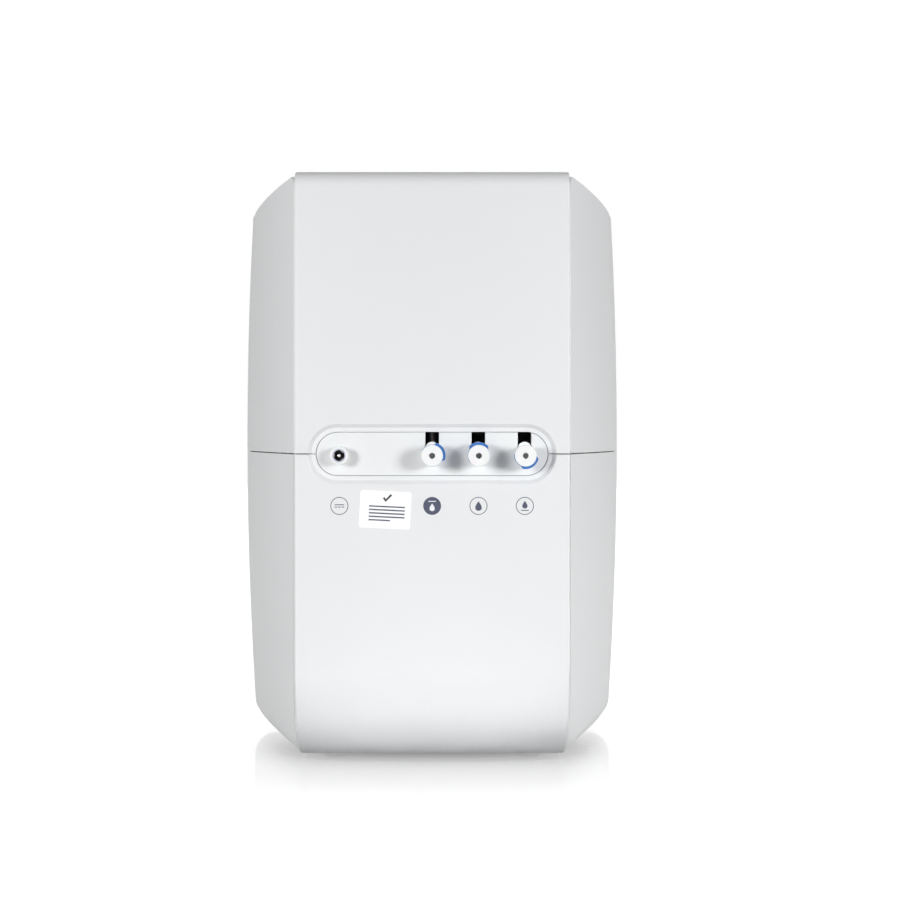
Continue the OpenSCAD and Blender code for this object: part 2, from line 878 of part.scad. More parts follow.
module plug(i) {
  placed() translate([port_xs[i], 0, port_z]) difference() {
    union() {
      rod_y(plug_head_r, plug_out_d, plug_in_d);
      rod_y(tube_r, plug_out_d + bite, plug_in_d + plug_stem);
    }
    rod_y(plug_hole_r, plug_out_d - bite, plug_in_d + plug_stem / 2);
  }
}

module inlet_plug() color(white) plug(0);

module pure_plug() color(white) plug(1);

module drain_plug() color(white) plug(2);

// Power inlet, held in the panel by a nut
jack_inner = 13;
jack_end_d = flange_d + jack_inner;
jack_wall_d = flange_d + 5;
nut_t = 3;
nut_rim = 3.4;
insert_set = 0.8;
pin_set = 2;

module jack_shell() color(white) placed() translate([jack_x, 0, port_z]) {
  difference() {
    union() {
      rod_y(jack_r, -jack_proud, panel_d);
      rod_y(jack_neck_r, panel_d - bite, jack_end_d);
    }
    rod_y(jack_insert_r + screw_clear, -far, far);
  }
}

module jack_insert() color(ink) placed() translate([jack_x, 0, port_z]) {
  difference() {
    rod_y(jack_insert_r, insert_set - jack_proud, jack_end_d);
    rod_y(jack_bore_r, -far, jack_wall_d);
  }
}

module jack_pin() color(metal) placed() translate([jack_x, 0, port_z]) {
  rod_y(jack_pin_r, pin_set - jack_proud, jack_wall_d);
}

module jack_nut() color(metal) placed() translate([jack_x, 0, port_z]) {
  difference() {
    translate([0, flange_d, 0]) rotate([-90, 0, 0]) cylinder(r = jack_neck_r + nut_rim, h = nut_t, $fn = 6);
    rod_y(jack_neck_r + screw_clear, 0, far);
  }
}

// Inner frame: upright plate, floor, top shelf and display holder
module inner_frame() color("#c9ccd0") placed() {
  hold_t = 2;
  hold = [board_front_d - board_t - hold_t, board_front_d - board_t];
  half = control_half - bite;
  difference() {
    union() {
      box([-frame_half, frame_half], [frame_d, plate_end_d], [floor_z, shelf_z + frame_t]);
      box([-frame_half, frame_half], [frame_d, floor_end_d], [floor_z, floor_z + frame_t]);
      box([-frame_half, frame_half], [frame_d, shelf_end_d], [shelf_z, shelf_z + frame_t]);
      box([-half, half], [filter_d, hold[1]], [shelf_z, shelf_z + frame_t]);
      box([-half, half], hold, [control_z - control_half_z, shelf_z + frame_t]);
      for (s = [-1, 1])
        translate([s * (frame_half - frame_t / 2), 0, 0])
          box([-frame_t / 2, frame_t / 2], [frame_d, gusset_end_d], [floor_z, filter_low_z - frame_t]);
      for (x = [-post_x, post_x], z = [-post_z, post_z])
        translate([x, 0, board_z + z]) rod_y(boss_r - 1, frame_d - post_h, plate_end_d);
    }
    for (p = floor_screws)
      translate([p[0], p[1], 0]) rod_z(screw_r + slip, floor_z - bite, floor_z + frame_t + bite);
    for (p = shelf_screws)
      translate([p[0], p[1], 0]) rod_z(screw_r + slip, shelf_z - bite, shelf_z + frame_t + bite);
    for (x = pipe_xs) translate([x, 0, pipe_z]) rod_y(tube_r + 2 * bite, frame_d - bite, plate_end_d + bite);
    for (x = [-post_x, post_x], z = [-post_z, post_z])
      translate([x, 0, board_z + z]) rod_y(screw_r + screw_clear, 0, frame_d + bite);
    for (x = pump_bolt_xs)
      translate([x, 0, pump_bolt_z]) rod_y(screw_r + screw_clear, frame_d - bite, plate_end_d + bite);
  }
}

module filter_manifold() color(pale) placed() {
  difference() {
    union() {
      box([-frame_half, frame_half], [filter_d - bar_half_d, filter_d + bar_half_d], [bar_z, shelf_z]);
      for (x = filter_xs) translate([x, filter_d, 0]) rod_z(head_r, head_z, bar_z + bite);
    }
    for (x = filter_xs) translate([x, filter_d, 0]) {
      rod_z(head_bore_r, head_z - bite, bar_z - bore_roof);
      rod_z(lug_r + lug_free, head_z + catch_h, head_z + catch_h + lug_h + bite);
      intersection() {
        rod_z(lug_r + lug_free, head_z - bite, head_z + catch_h + bite);
        box([-entry_half, entry_half], [-far, far], [head_z - bite, head_z + catch_h + bite]);
      }
    }
    for (x = pipe_xs) translate([x, 0, pipe_z]) {
      rod_y(bore_r, filter_d - bar_half_d - bite, filter_d - bar_half_d + socket_deep);
      rod_y(way_r, 0, filter_d);
    }
    for (p = shelf_screws)
      translate([p[0], p[1], shelf_z]) rod_z(screw_r + screw_clear, -manifold_bite - 2 * bite, bite);
  }
}

module manifold_screws() color(metal) placed() {
  for (p = shelf_screws) translate([p[0], p[1], shelf_z + frame_t]) screw(frame_t + manifold_bite);
}

module frame_screws() color(metal) placed() {
  for (p = floor_screws) translate([p[0], p[1], floor_z + frame_t]) screw(frame_t + boss_bite);
  for (x = [-post_x, post_x], z = [-post_z, post_z])
    translate([x, board_d, board_z + z]) rotate([90, 0, 0]) screw(post_bite);
  for (x = pump_bolt_xs)
    translate([x, frame_d - frame_t, pump_bolt_z]) rotate([90, 0, 0]) screw(2 * frame_t);
}

module seam_screws() color(metal) placed() {
  for (p = seam_lugs) translate([p[0] * lug_x(p[1]), p[1], lug_top_z]) screw(lug_screw);
}

// Filter cartridges hang in the manifold's heads by two lugs
groove_deep = 2.1;
groove_r = filter_neck_r - groove_deep;
groove_h = 2.6;
seal_zs = [neck_top_z - 4.5, neck_top_z - 9.5];
seal_w = (head_bore_r - groove_r) / 2 - seal_free;
shell_end_z = filter_top_z - neck_way;
cartridge_edge = 10;

module cartridge_outline() {
  edge = cartridge_edge;
  tall = filter_top_z - filter_low_z;
  difference() {
    union() {
      translate([0, filter_low_z]) square([filter_r - edge, tall]);
      translate([0, filter_low_z + edge]) square([filter_r, tall - 2 * edge]);
      translate([filter_r - edge, filter_low_z + edge]) circle(r = edge);
      translate([filter_r - edge, filter_top_z - edge]) circle(r = edge);
      translate([0, filter_top_z - bite]) square([filter_neck_r, neck_top_z - filter_top_z + bite]);
    }
    translate([0, filter_low_z + filter_wall]) square([filter_r - edge, tall - neck_way - filter_wall]);
    translate([0, filter_low_z + edge]) square([filter_r - filter_wall, tall - 2 * edge]);
    translate([0, filter_low_z + filter_wall]) square([neck_way, far]);
    for (z = seal_zs) translate([groove_r, z - groove_h / 2]) square([far, groove_h]);
  }
}

module cartridge_housing(i) {
  placed() translate([filter_xs[i], filter_d, 0]) {
    lug_z = head_z + catch_h + slip;
    rotate_extrude() cartridge_outline();
    intersection() {
      ring_z(lug_r, filter_neck_r - bite, lug_z, lug_z + lug_h);
      box([-far, far], [-lug_half, lug_half], [lug_z - bite, lug_z + lug_h + bite]);
    }
  }
}

module cartridge_element(i, r, hole) {
  placed() translate([filter_xs[i], filter_d, 0])
    ring_z(r, hole, filter_low_z + filter_wall, shell_end_z - bite);
}

module cartridge_seals(i) {
  placed() for (z = seal_zs)
    translate([filter_xs[i], filter_d, z]) seal((head_bore_r + groove_r) / 2, seal_w);
}

element_r = filter_r - cartridge_edge - bite;

module prefilter_housing() color(white) cartridge_housing(0);

module membrane_housing() color(white) cartridge_housing(1);

module postfilter_housing() color(white) cartridge_housing(2);

module prefilter_element() color("#d9d4c6") cartridge_element(0, element_r, 12);

module membrane_element() color("#cfd6da") cartridge_element(1, element_r, 8);

module postfilter_element() color("#3a3a3c") cartridge_element(2, element_r, 10);

module prefilter_seals() color(ink) cartridge_seals(0);

module membrane_seals() color(ink) cartridge_seals(1);

module postfilter_seals() color(ink) cartridge_seals(2);

// Booster pump: motor on the left, crank and head on the right
module pump_axis() {
  placed() translate([0, pump_d, pump_z]) children();
}

can_t = 2;
can_end_t = 2.5;
magnet_arc = 130;
field_t = 4;
field_end = 14;
core_end = field_end + 2;
bearing_wall = 3;
bearing_x = [can_end_t - motor_len, 1];
eccentric_x = [12, crank_len - 8];
crank_floor = 10;
crank_wall = 4;
rocker_t = 2;
rocker_rise = 13;

module motor_can() color(metal) pump_axis() {
  difference() {
    union() {
      ring_x(motor_r, motor_r - can_t, -motor_len, 0);
      rod_x(motor_r - bite, -motor_len, can_end_t - motor_len);
      rod_x(bearing_r + bearing_wall, -motor_len, can_end_t + bearing_w - motor_len);
    }
    rod_x(bearing_r + bearing_clear, bearing_x[0], 0);
  }
}

module motor_magnets() color("#55585c") pump_axis() {
  for (s = [0, 180]) rotate([s, 0, 0])
    rotate([0, 90, 0])
    translate([0, 0, field_end - motor_len])
    rotate([0, 0, -magnet_arc / 2])
    rotate_extrude(angle = magnet_arc)
    translate([motor_r - can_t - field_t, 0])
    square([field_t - screw_clear, motor_len - 2 * field_end]);
}

module motor_rotor() color("#8a6a45") pump_axis() {
  rod_x(motor_r - can_t - field_t - bite, core_end - motor_len, -core_end);
  rod_x(shaft_r, bearing_x[0] + 2 * slip, eccentric_x[1] + 2);
  rod_x(bearing_r - bite, bearing_x[0] + bearing_w + bite, core_end + bite - motor_len);
}

module motor_bearings() color(metal) pump_axis() {
  for (x = bearing_x) ring_x(bearing_r, shaft_r + bearing_clear, x, x + bearing_w);
}

module pump_eccentric() color("#d0a84c") pump_axis() {
  difference() {
    translate([0, 0, eccentric]) rod_x(bearing_r, eccentric_x[0], eccentric_x[1]);
    rod_x(shaft_r + bearing_clear, 0, far);
  }
}

module crank_housing() color("#3c4046") pump_axis() {
  difference() {
    rod_x(crank_r, 0, crank_len);
    rod_x(bearing_r + bearing_clear, -bite, bearing_x[1] + bearing_w);
    rod_x(shaft_r + 2 * slip, 0, far);
    rod_x(crank_r - crank_wall, crank_floor, far);
  }
}

module pump_rocker() color(pale) pump_axis() {
  post = 3;
  plate = [crank_len - post - rocker_t, crank_len - post];
  bore = bearing_r + eccentric + 3 * slip;
  ring_x(bore + bearing_wall, bore, eccentric_x[0] + bite, plate[0] + bite);
  rod_x(crank_r - crank_wall - post, plate[0], plate[1]);
  for (a = [0, 120, 240]) rotate([a, 0, 0])
    translate([0, 0, rocker_rise]) rod_x(post + bite, plate[1] - bite, crank_len);
}

module pump_diaphragm() color(ink) pump_axis() {
  rod_x(crank_r, crank_len, disc_end);
}

module pump_head() color("#3c4046") placed() {
  difference() {
    union() {
      translate([0, pump_d, pump_z]) rod_x(crank_r, disc_end, pump_end);
      for (s = [-1, 1]) translate([outlet_x, pump_d + s * outlet_gap, 0]) rod_z(spout_r, pump_z, outlet_z);
    }
    for (s = [-1, 1]) translate([outlet_x, pump_d + s * outlet_gap, 0]) {
      rod_z(bore_r, outlet_z - socket_deep, far);
      rod_z(way_r, pump_z + spout_r, far);
    }
  }
}

damper_h = 5;
damper_r = 6;
cradle_t = 3;
cradle_room = 6;
cradle_z = pump_z - crank_r - cradle_room - cradle_t;
shelf_top_z = cradle_z - damper_h;
damper_xs = [-52, 30];
damper_gap = 16;
damper_ds = [pump_d - damper_gap, pump_d + damper_gap];
cradle_xs = [-66, 46];
saddle_xs = [-62, -24, 8];
saddle_w = 10;
saddle_rise = 10;
pump_shelf_xs = [-62, 42];

module pump_cradle() color(metal) placed() {
  difference() {
    union() {
      box(cradle_xs, [damper_ds[0] - 8, damper_ds[1] + 8], [cradle_z, cradle_z + cradle_t]);
      for (x = saddle_xs)
        box([x, x + saddle_w], [damper_ds[0] - 4, damper_ds[1] + 4],
          [cradle_z + cradle_t - bite, pump_z - motor_r + saddle_rise]);
    }
    translate([0, pump_d, pump_z]) {
      rod_x(motor_r + screw_clear, -far, 0);
      rod_x(crank_r + screw_clear, 0, far);
    }
  }
}

module pump_dampers() color(ink) placed() {
  for (x = damper_xs, d = damper_ds) translate([x, d, 0]) rod_z(damper_r, shelf_top_z, cradle_z);
}

module pump_shelf() color(metal) placed() {
  difference() {
    union() {
      box(pump_shelf_xs, [damper_ds[0] - 10, frame_d], [shelf_top_z - frame_t, shelf_top_z]);
      box(pump_shelf_xs, [frame_d - frame_t, frame_d], [shelf_top_z - 4 * frame_t, pump_bolt_z + 8]);
    }
    for (x = pump_bolt_xs) translate([x, 0, pump_bolt_z]) rod_y(screw_r + slip, 0, far);
  }
}

// Solenoid valves: a body with two sockets, a coil and a lifting plunger
module valve_places() {
  for (x = [-valve_x, valve_x]) translate([x, valve_d, 0]) children();
}

module valve_bodies() color(white) placed() valve_places() {
  difference() {
    translate([0, 0, valve_z])
      box([-valve_half[0], valve_half[0]], [-valve_half[1], valve_back], [-valve_half[2], valve_half[2]]);
    translate([0, 0, valve_z]) {
      rod_x(bore_r, -far, socket_deep - valve_half[0]);
      rod_x(bore_r, valve_half[0] - socket_deep, far);
      rod_x(way_r, -far, bite);
      rod_x(way_r, seat_off, far);
    }
    rod_z(way_r, valve_z, far);
    translate([seat_off, 0, 0]) rod_z(seat_way_r, valve_z, seat_z + bite);
    rod_z(plunger_r + bite, seat_z, far);
  }
}

module valve_coils() color("#2b4f86") placed() valve_places() {
  difference() {
    box([-coil_half[0], coil_half[0]], [-coil_half[1], coil_half[1]], [coil_base_z, coil_base_z + coil_h]);
    rod_z(plunger_r + slip, coil_base_z - bite, coil_bore_z);
  }
}

module plunger(x) {
  placed() translate([x, valve_d, 0]) rod_z(plunger_r, seat_z + play, plunger_top_z);
}

module inlet_plunger() color(metal) plunger(-valve_x);

module flush_plunger() color(metal) plunger(valve_x);

// Flow meter with a paddle wheel across the stream
wheel_r = 11.2;
wheel_room = 0.8;
wheel_half = 5;
hub_r = 3.5;
pivot_r = 1;
pivot_half = 8.5;
meter_r = 15;
meter_arm = 27;
meter_pipe_r = 6;

module flow_meter() color(white) placed() translate([meter_x, 0, meter_z]) {
  difference() {
    union() {
      rod_y(meter_r, meter_d - meter_back - 2 * bite, frame_d);
      translate([0, meter_d, 0]) rod_z(meter_pipe_r, -meter_arm, meter_arm);
    }
    translate([0, meter_d, 0]) {
      rod_y(wheel_r + wheel_room, -wheel_half - bite, wheel_half + bite);
      rod_y(pivot_r + screw_clear, -pivot_half - slip, pivot_half + slip);
    }
    translate([0, meter_d, 0]) {
      for (s = [0, 180]) rotate([s, 0, 0]) {
        rod_z(way_r, wheel_r, far);
        rod_z(bore_r, meter_arm - socket_deep, far);
      }
    }
  }
}

module meter_wheel() color(blue) placed() translate([meter_x, meter_d, meter_z]) {
  paddle_t = 1.6;
  rod_y(hub_r, -wheel_half - 2 * slip, wheel_half + 2 * slip);
  rod_y(pivot_r, -pivot_half, pivot_half);
  for (a = [0:60:300]) rotate([0, a, 0])
    box([-paddle_t / 2, paddle_t / 2], [-wheel_half, wheel_half], [hub_r - bite, wheel_r]);
}

module control_board() color("darkgreen") placed() {
  difference() {
    translate([0, board_d, board_z])
      box([-board_w / 2, board_w / 2], [0, board_t], [-board_h / 2, board_h / 2]);
    for (x = [-post_x, post_x], z = [-post_z, post_z])
      translate([x, 0, board_z + z]) rod_y(screw_r + slip, 0, far);
  }
}

plug_z = board_z - board_h / 2;
lead_x = 42;
lead_gap = 8;
lead_xs = [-lead_x - lead_gap, lead_gap - lead_x];
socket_half = 6;
socket_t = 8;
power_w = 30;
power_t = 12;
power_half_z = 12;
chip_x = 27;
chip_half = 13;
chip_t = 3;
part_z = 2;
cap_r = 5;
cap_t = 11;
cap_z = 30;
cap_gap = 8;

module board_parts() color(ink) placed() translate([0, 0, board_z]) {
  for (x = lead_xs) translate([x, board_d, -board_h / 2])
    box([-socket_half, socket_half], [-socket_t, 0], [0, socket_t]);
  translate([0, board_d, part_z]) {
    box([-power_w, 0], [-power_t, 0], [-power_half_z, power_half_z]);
    box([chip_x - chip_half, chip_x + chip_half], [-chip_t, 0], [-chip_half, chip_half]);
  }
  for (s = [-1, 1]) translate([chip_x + s * cap_gap, board_d, cap_z]) rod_y(cap_r, -cap_t, 0);
}

// Tubes and leads on their routes between the sockets
inset = 8;
manifold_d = filter_d - bar_half_d + inset;
fitting_d = fitting_end_d - inset;
valve_in = valve_half[0] - inset;
lane_a = 50;
lane_b = 66;
lane_c = 42;
lead_r = 1.6;
lead_d = board_d - socket_t / 2;
lead_rise = 8;

module tubes_and_leads() color("#e9eef2") placed() {
  port_in = [for (x = port_xs) [x, fitting_d, port_z]];
  port_turn = [for (x = port_xs) [x, lane_a, port_z]];
  head_pipe = [for (x = pipe_xs) [x, manifold_d, pipe_z]];
  out_side = valve_x + 36;
  in_side = valve_x + 32;
  high = valve_z + coil_h + 22;
  pipe([head_pipe[0], [pipe_xs[0], lane_a, pipe_z], [pipe_xs[0], lane_a, port_z + 35],
    [0, lane_a, port_z + 35], port_turn[0], port_in[0]], tube_r, 12);
  pipe([head_pipe[1], [pipe_xs[1], lane_b, pipe_z], [pipe_xs[1], lane_b, high], [-in_side, valve_d, high],
    [-in_side, valve_d, valve_z], [-valve_x - valve_in, valve_d, valve_z]], tube_r, 9);
  pipe([[valve_in - valve_x, valve_d, valve_z], [30 - valve_x, valve_d, valve_z],
    [30 - valve_x, valve_d, valve_z - 20], [outlet_x, pump_d + outlet_gap, valve_z - 20],
    [outlet_x, pump_d + outlet_gap, outlet_z - inset]], tube_r, 8);
  pipe([[outlet_x, pump_d - outlet_gap, outlet_z - inset], [outlet_x, lane_c, valve_z + 15],
    [pipe_xs[2], lane_c, valve_z + 15], [pipe_xs[2], lane_c, pipe_z], head_pipe[2]], tube_r, 12);
  pipe([head_pipe[3], [pipe_xs[3], lane_b, pipe_z], [pipe_xs[3], lane_b, valve_z + 26],
    [valve_x - 32, valve_d, valve_z], [valve_x - valve_in, valve_d, valve_z]], tube_r, 8);
  pipe([[valve_x + valve_in, valve_d, valve_z], [out_side, valve_d, valve_z],
    [out_side, valve_d, valve_z + coil_h], [port_xs[2], lane_a, valve_z + coil_h],
    port_turn[2], port_in[2]], tube_r, 9);
  pipe([head_pipe[4], [meter_x, meter_d, pipe_z],
    [meter_x, meter_d, meter_z + meter_arm - inset]], tube_r, 12);
  pipe([[meter_x, meter_d, meter_z - meter_arm + inset], [meter_x, meter_d, port_z - 21],
    [port_xs[1], lane_a, port_z - 21], port_turn[1], port_in[1]], tube_r, 8);
  pipe([[jack_x, jack_end_d, port_z], [jack_x, 38, port_z], [lead_xs[0], lead_d, port_z + 12],
    [lead_xs[0], lead_d, plug_z]], lead_r, 8);
  pipe([[lead_xs[1], lead_d, plug_z], [lead_xs[1], lead_d, port_z - 8], [lead_xs[1], 60, port_z - 33],
    [-90, 40, port_z - 103], [-12 - motor_len, pump_d, pump_z + lead_rise],
    [-motor_len, pump_d, pump_z + lead_rise]], lead_r, 6);
}

upper_shell();
lower_shell();
front_cover();
port_panel();
rubber_feet();
display_lens();
display_board();
display_parts();
flush_button();
reset_button();
cover_magnets();
strike_plates();
port_fittings();
collets();
port_seals();
inlet_clip();
pure_clip();
drain_clip();
inlet_plug();
pure_plug();
drain_plug();
jack_shell();
jack_insert();
jack_pin();
jack_nut();
inner_frame();
filter_manifold();
manifold_screws();
frame_screws();
seam_screws();
prefilter_housing();
membrane_housing();
postfilter_housing();
prefilter_element();
membrane_element();
postfilter_element();
prefilter_seals();
membrane_seals();
postfilter_seals();
motor_can();
motor_magnets();
motor_rotor();
motor_bearings();
pump_eccentric();
crank_housing();
pump_rocker();
pump_diaphragm();
pump_head();
pump_cradle();
pump_dampers();
pump_shelf();
valve_bodies();
valve_coils();
inlet_plunger();
flush_plunger();
flow_meter();
meter_wheel();
control_board();
board_parts();
tubes_and_leads();
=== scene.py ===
"""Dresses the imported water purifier: moulded casing skins, ports, inner parts, finishes and a small studio."""

import math

import bmesh
import bpy
from bpy.props import FloatProperty, FloatVectorProperty, PointerProperty
from mathutils import Matrix, Vector


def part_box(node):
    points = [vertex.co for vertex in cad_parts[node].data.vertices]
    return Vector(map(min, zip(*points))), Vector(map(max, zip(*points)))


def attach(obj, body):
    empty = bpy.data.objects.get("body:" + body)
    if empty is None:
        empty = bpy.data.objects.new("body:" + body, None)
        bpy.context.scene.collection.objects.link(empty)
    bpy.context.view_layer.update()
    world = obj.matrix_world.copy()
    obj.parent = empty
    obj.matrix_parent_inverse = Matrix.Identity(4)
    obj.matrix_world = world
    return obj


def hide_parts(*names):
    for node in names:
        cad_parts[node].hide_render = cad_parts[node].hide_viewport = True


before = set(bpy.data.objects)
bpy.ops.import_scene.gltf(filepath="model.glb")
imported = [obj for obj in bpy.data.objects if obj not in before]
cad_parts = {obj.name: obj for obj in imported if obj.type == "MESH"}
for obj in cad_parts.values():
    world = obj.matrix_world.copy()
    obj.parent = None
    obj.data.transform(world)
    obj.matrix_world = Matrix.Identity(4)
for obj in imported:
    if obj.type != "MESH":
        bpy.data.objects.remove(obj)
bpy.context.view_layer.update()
MM = 0.001
# Distances in metres that count as the same place: in tests, in merges and on cuts.
TINY, MERGE, ON_CUT = 2e-5, 1e-6, 1e-7
SMOOTH_LIMIT, FLAT_LIMIT = math.radians(32), math.radians(0.4)
PORTS = ("inlet", "pure", "drain")
STAGES = ("prefilter", "membrane", "postfilter")

bl_info = {
    "name": "Water purifier",
    "version": (1, 0, 0),
    "blender": (4, 5, 0),
    "location": "View3D > Sidebar > Purifier",
    "description": "Models the purifier's casing, ports and inner parts over its packed solids",
    "category": "Object",
}


def length(name, value, description):
    """A size in metres, given in millimetres."""
    return FloatProperty(name=name, description=description, default=value * MM, unit="LENGTH", precision=5)


def colour(name, value, description):
    """A colour in linear light."""
    return FloatVectorProperty(name=name, description=description, default=value, subtype="COLOR", min=0, max=1)


def low_corner(node):
    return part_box(node)[0]


def high_corner(node):
    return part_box(node)[1]


def middle(node):
    low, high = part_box(node)
    return (low + high) / 2


class CasingSizes(bpy.types.PropertyGroup):
    """Sizes of the two shells and the front cover."""

    rear: length("Rear face", low_corner("upper_shell").y / MM, "Place of the band's rear face along Y")
    low: length("Bottom", low_corner("lower_shell").z / MM, "Height of the casing's bottom")
    top: length("Top", high_corner("upper_shell").z / MM, "Height of the casing's top")
    seam: length("Seam", low_corner("upper_shell").z / MM - 0.3, "Height of the seam between the shells")
    seam_gap: length("Seam gap", 0.6, "Open width of the seams")
    wall: length("Wall", 3, "Wall thickness of the mouldings")
    band_width: length("Band width", 193, "Width of the flat band that wraps the casing")
    front_width: length("Front width", 303, "Width of the casing at its widest edge")
    shell_depth: length("Shell depth", 178, "Depth of the shells behind the rear face")
    widest_depth: length("Widest depth", 194, "Depth of the widest edge behind the rear face")
    band_rise: length("Band rise", 2, "How far the band stands proud of the side panels")
    top_step: length("Top step", 4.5, "How far the band stands above the side panels")
    low_step: length("Low step", 3, "How far the band hangs below the side panels")
    ledge: length("Ledge", 0.5, "Ledge where a side panel starts beside the band")
    rear_top_radius: length("Upper rear radius", 11, "Radius of the upper rear edge")
    rear_low_radius: length("Lower rear radius", 70, "Radius of the lower rear edge")
    side_bulge: length("Side bulge", 3.3, "Bulge of a side panel seen from above")
    bow_radius: length("Bow radius", 3440, "Radius of the upright bow of a side panel")
    bow_height: length("Bow height", 232, "Height of the widest line above the casing's bottom")
    bow_ease: length("Bow ease", 130, "Depth over which the side panels' bow sets in behind the band")
    corner_ease: length("Corner ease", 115, "Depth over which the side panels' lower rounding sets in")
    bend_swell: FloatProperty(
        name="Bend swell", description="How fast a side panel swells out behind the lower bend", default=0.42,
    )
    low_edge_radius: length("Lower edge radius", 17, "Radius of a side panel's lower edge")
    roof_rise: length("Roof rise", 1.2, "How far a side panel's top edge starts above its nominal height")
    roof_fall: length("Roof fall", 1.9, "How far a side panel's top edge falls towards the front")
    groove: length("Groove", 1.2, "How far a side panel's edge turns in beside the band")
    turn_in: length("Turn-in", 8.6, "Depth of the band's turned-in edges")
    band_edge: length("Band edge", 1.4, "Rounding of the band's long edges")
    side_edge: length("Side edge", 1.3, "Rounding of the side panels' outline")
    recess_radius: length("Recess radius", 21, "Half height of the recess in the band")
    recess_half: length("Recess half length", 66, "Half length of the recess between its round ends")
    recess_margin: length("Recess margin", 9, "Flat margin above and below the recess")
    recess_slope: length("Recess slope", 2.6, "Width of the sloped ring")
    recess_land: length("Recess land", 3, "Width of the flat ring")
    recess_deep: length("Recess depth", 2.5, "Depth of the flat ring")
    recess_edge: length("Recess edge", 0.45, "Rounding of the recess's outer edge")
    land_edge: length("Land edge", 0.2, "Rounding of the flat ring's outer edge")


class MarkSizes(bpy.types.PropertyGroup):
    """Sizes and places of the printed marks and the label."""

    height: length("Mark height", 188.1, "Height of the marks' centres above the floor")
    radius: length("Mark radius", 6.25, "Radius of a mark's ring")
    line: length("Line", 0.5, "Line width of a mark's ring")
    stroke: length("Stroke", 0.6, "Width of the strokes inside a mark")
    film: length("Film", 0.05, "Thickness of the printed ink")
    label_x: length("Label place", -32.8, "Place of the label along X")
    label_z: length("Label height", 185.4, "Height of the label's centre")
    label_width: length("Label width", 36.0, "Width of the label")
    label_height: length("Label length", 26.4, "Height of the label's sheet")
    label_corner: length("Label corner", 1.8, "Radius of the label's corners")
    label_paper: length("Label paper", 0.14, "Thickness of the label's sheet")
    label_rule: length("Label rule", 0.95, "Thickness of the label's rules")
    label_tilt: FloatProperty(
        name="Label tilt", description="Turn of the label, laid on by hand",
        default=math.radians(2.8), subtype="ANGLE",
    )


class Finishes(bpy.types.PropertyGroup):
    """Colours of the finishes."""

    casing: colour("Casing", (0.80, 0.81, 0.818), "Moulded white of the casing")
    panel: colour("Panel", (0.83, 0.845, 0.85), "Moulded white of the port panel")
    acetal: colour("Acetal", (0.90, 0.915, 0.92), "White of the plugs and fittings")
    clip: colour("Clip", (0.045, 0.19, 0.56), "Blue of the locking clips")
    ink: colour("Ink", (0.060, 0.069, 0.115), "Slate ink of the printed marks")
    dark: colour("Dark", (0.012, 0.013, 0.014), "Black plastic and rubber")
    grey: colour("Grey", (0.42, 0.44, 0.46), "Grey of the inner frame")
    floor: colour("Floor", (0.14, 0.14, 0.14), "Studio floor")


class CasingShape:
    """Points on the casing's outer form."""

    def __init__(self, sizes):
        self.sizes = sizes
        near = Vector((sizes.band_width / 2 + sizes.ledge, sizes.band_rise))
        wide = Vector((sizes.front_width / 2, sizes.widest_depth))
        chord = (wide - near).length
        self.plan_radius = (chord**2 / 4 + sizes.side_bulge**2) / (2 * sizes.side_bulge)
        outward = Vector((wide.y - near.y, near.x - wide.x)) / chord
        self.plan_centre = (near + wide) / 2 - outward * (self.plan_radius - sizes.side_bulge)
        self.side_low = sizes.low + sizes.low_step
        self.side_top = sizes.top - sizes.top_step

    def flank(self, depth, z):
        """Half width of the side panels at a depth and height.

        A panel starts where the band bends away, and its bow and lower rounding ease in behind the band.
        """
        sizes = self.sizes
        start = self.rear_edge(z)
        along = max(0.0, depth - start) / (sizes.widest_depth - start)
        swell = 1 - sizes.bend_swell * (start - sizes.band_rise) / sizes.rear_low_radius
        depth = sizes.band_rise + (sizes.widest_depth - sizes.band_rise) * along**swell
        bow = sizes.bow_radius
        middle_z = sizes.low + sizes.bow_height
        inset = bow - math.sqrt(bow**2 - (z - middle_z) ** 2)
        edge = sizes.low_edge_radius
        corner_z = self.side_low + edge
        rounding = 0.0
        if z < corner_z:
            corner = bow - math.sqrt((bow - edge) ** 2 - (corner_z - middle_z) ** 2)
            rounding = max(0.0, corner - math.sqrt(max(0.0, edge**2 - (corner_z - z) ** 2)) - inset)
        below = z < middle_z
        bowed = self.eased(depth, sizes.bow_ease) if below else self.eased(depth, sizes.shell_depth, 1)
        reach = self.plan_radius - bowed * inset - self.eased(depth, sizes.corner_ease) * rounding
        x = self.plan_centre.x + math.sqrt(reach**2 - (depth - self.plan_centre.y) ** 2)
        return max(sizes.band_width / 2 + sizes.ledge, x)

    def rear_edge(self, z):
        """Depth of a side panel's rear edge at a height, which follows the band's lower bend."""
        sizes = self.sizes
        radius = sizes.rear_low_radius - sizes.low_step
        rise = min(radius, max(0.0, self.side_low + radius - z))
        return sizes.band_rise + radius - math.sqrt(radius**2 - rise**2)

    def eased(self, depth, ease, power=2):
        """How far a form has set in at a depth behind the band, from 0 to 1."""
        rest = 1 - min(1.0, max(0.0, (depth - self.sizes.band_rise) / ease))
        return 1 - rest**power

    def roof(self, depth):
        """Height of the side panels' top edge at a depth."""
        sizes = self.sizes
        return self.side_top + sizes.roof_rise - sizes.roof_fall * depth / sizes.shell_depth

    def low_heights(self, count):
        """Heights that follow the rounded lower edge of a side panel."""
        edge = self.sizes.low_edge_radius
        return [self.side_low + edge * (1 - math.cos(math.pi / 2 * i / count)) for i in range(1, count + 1)]


def spread(first, last, count):
    """Evenly spaced values between two ends, without the ends."""
    return [first + (last - first) * i / count for i in range(1, count)]


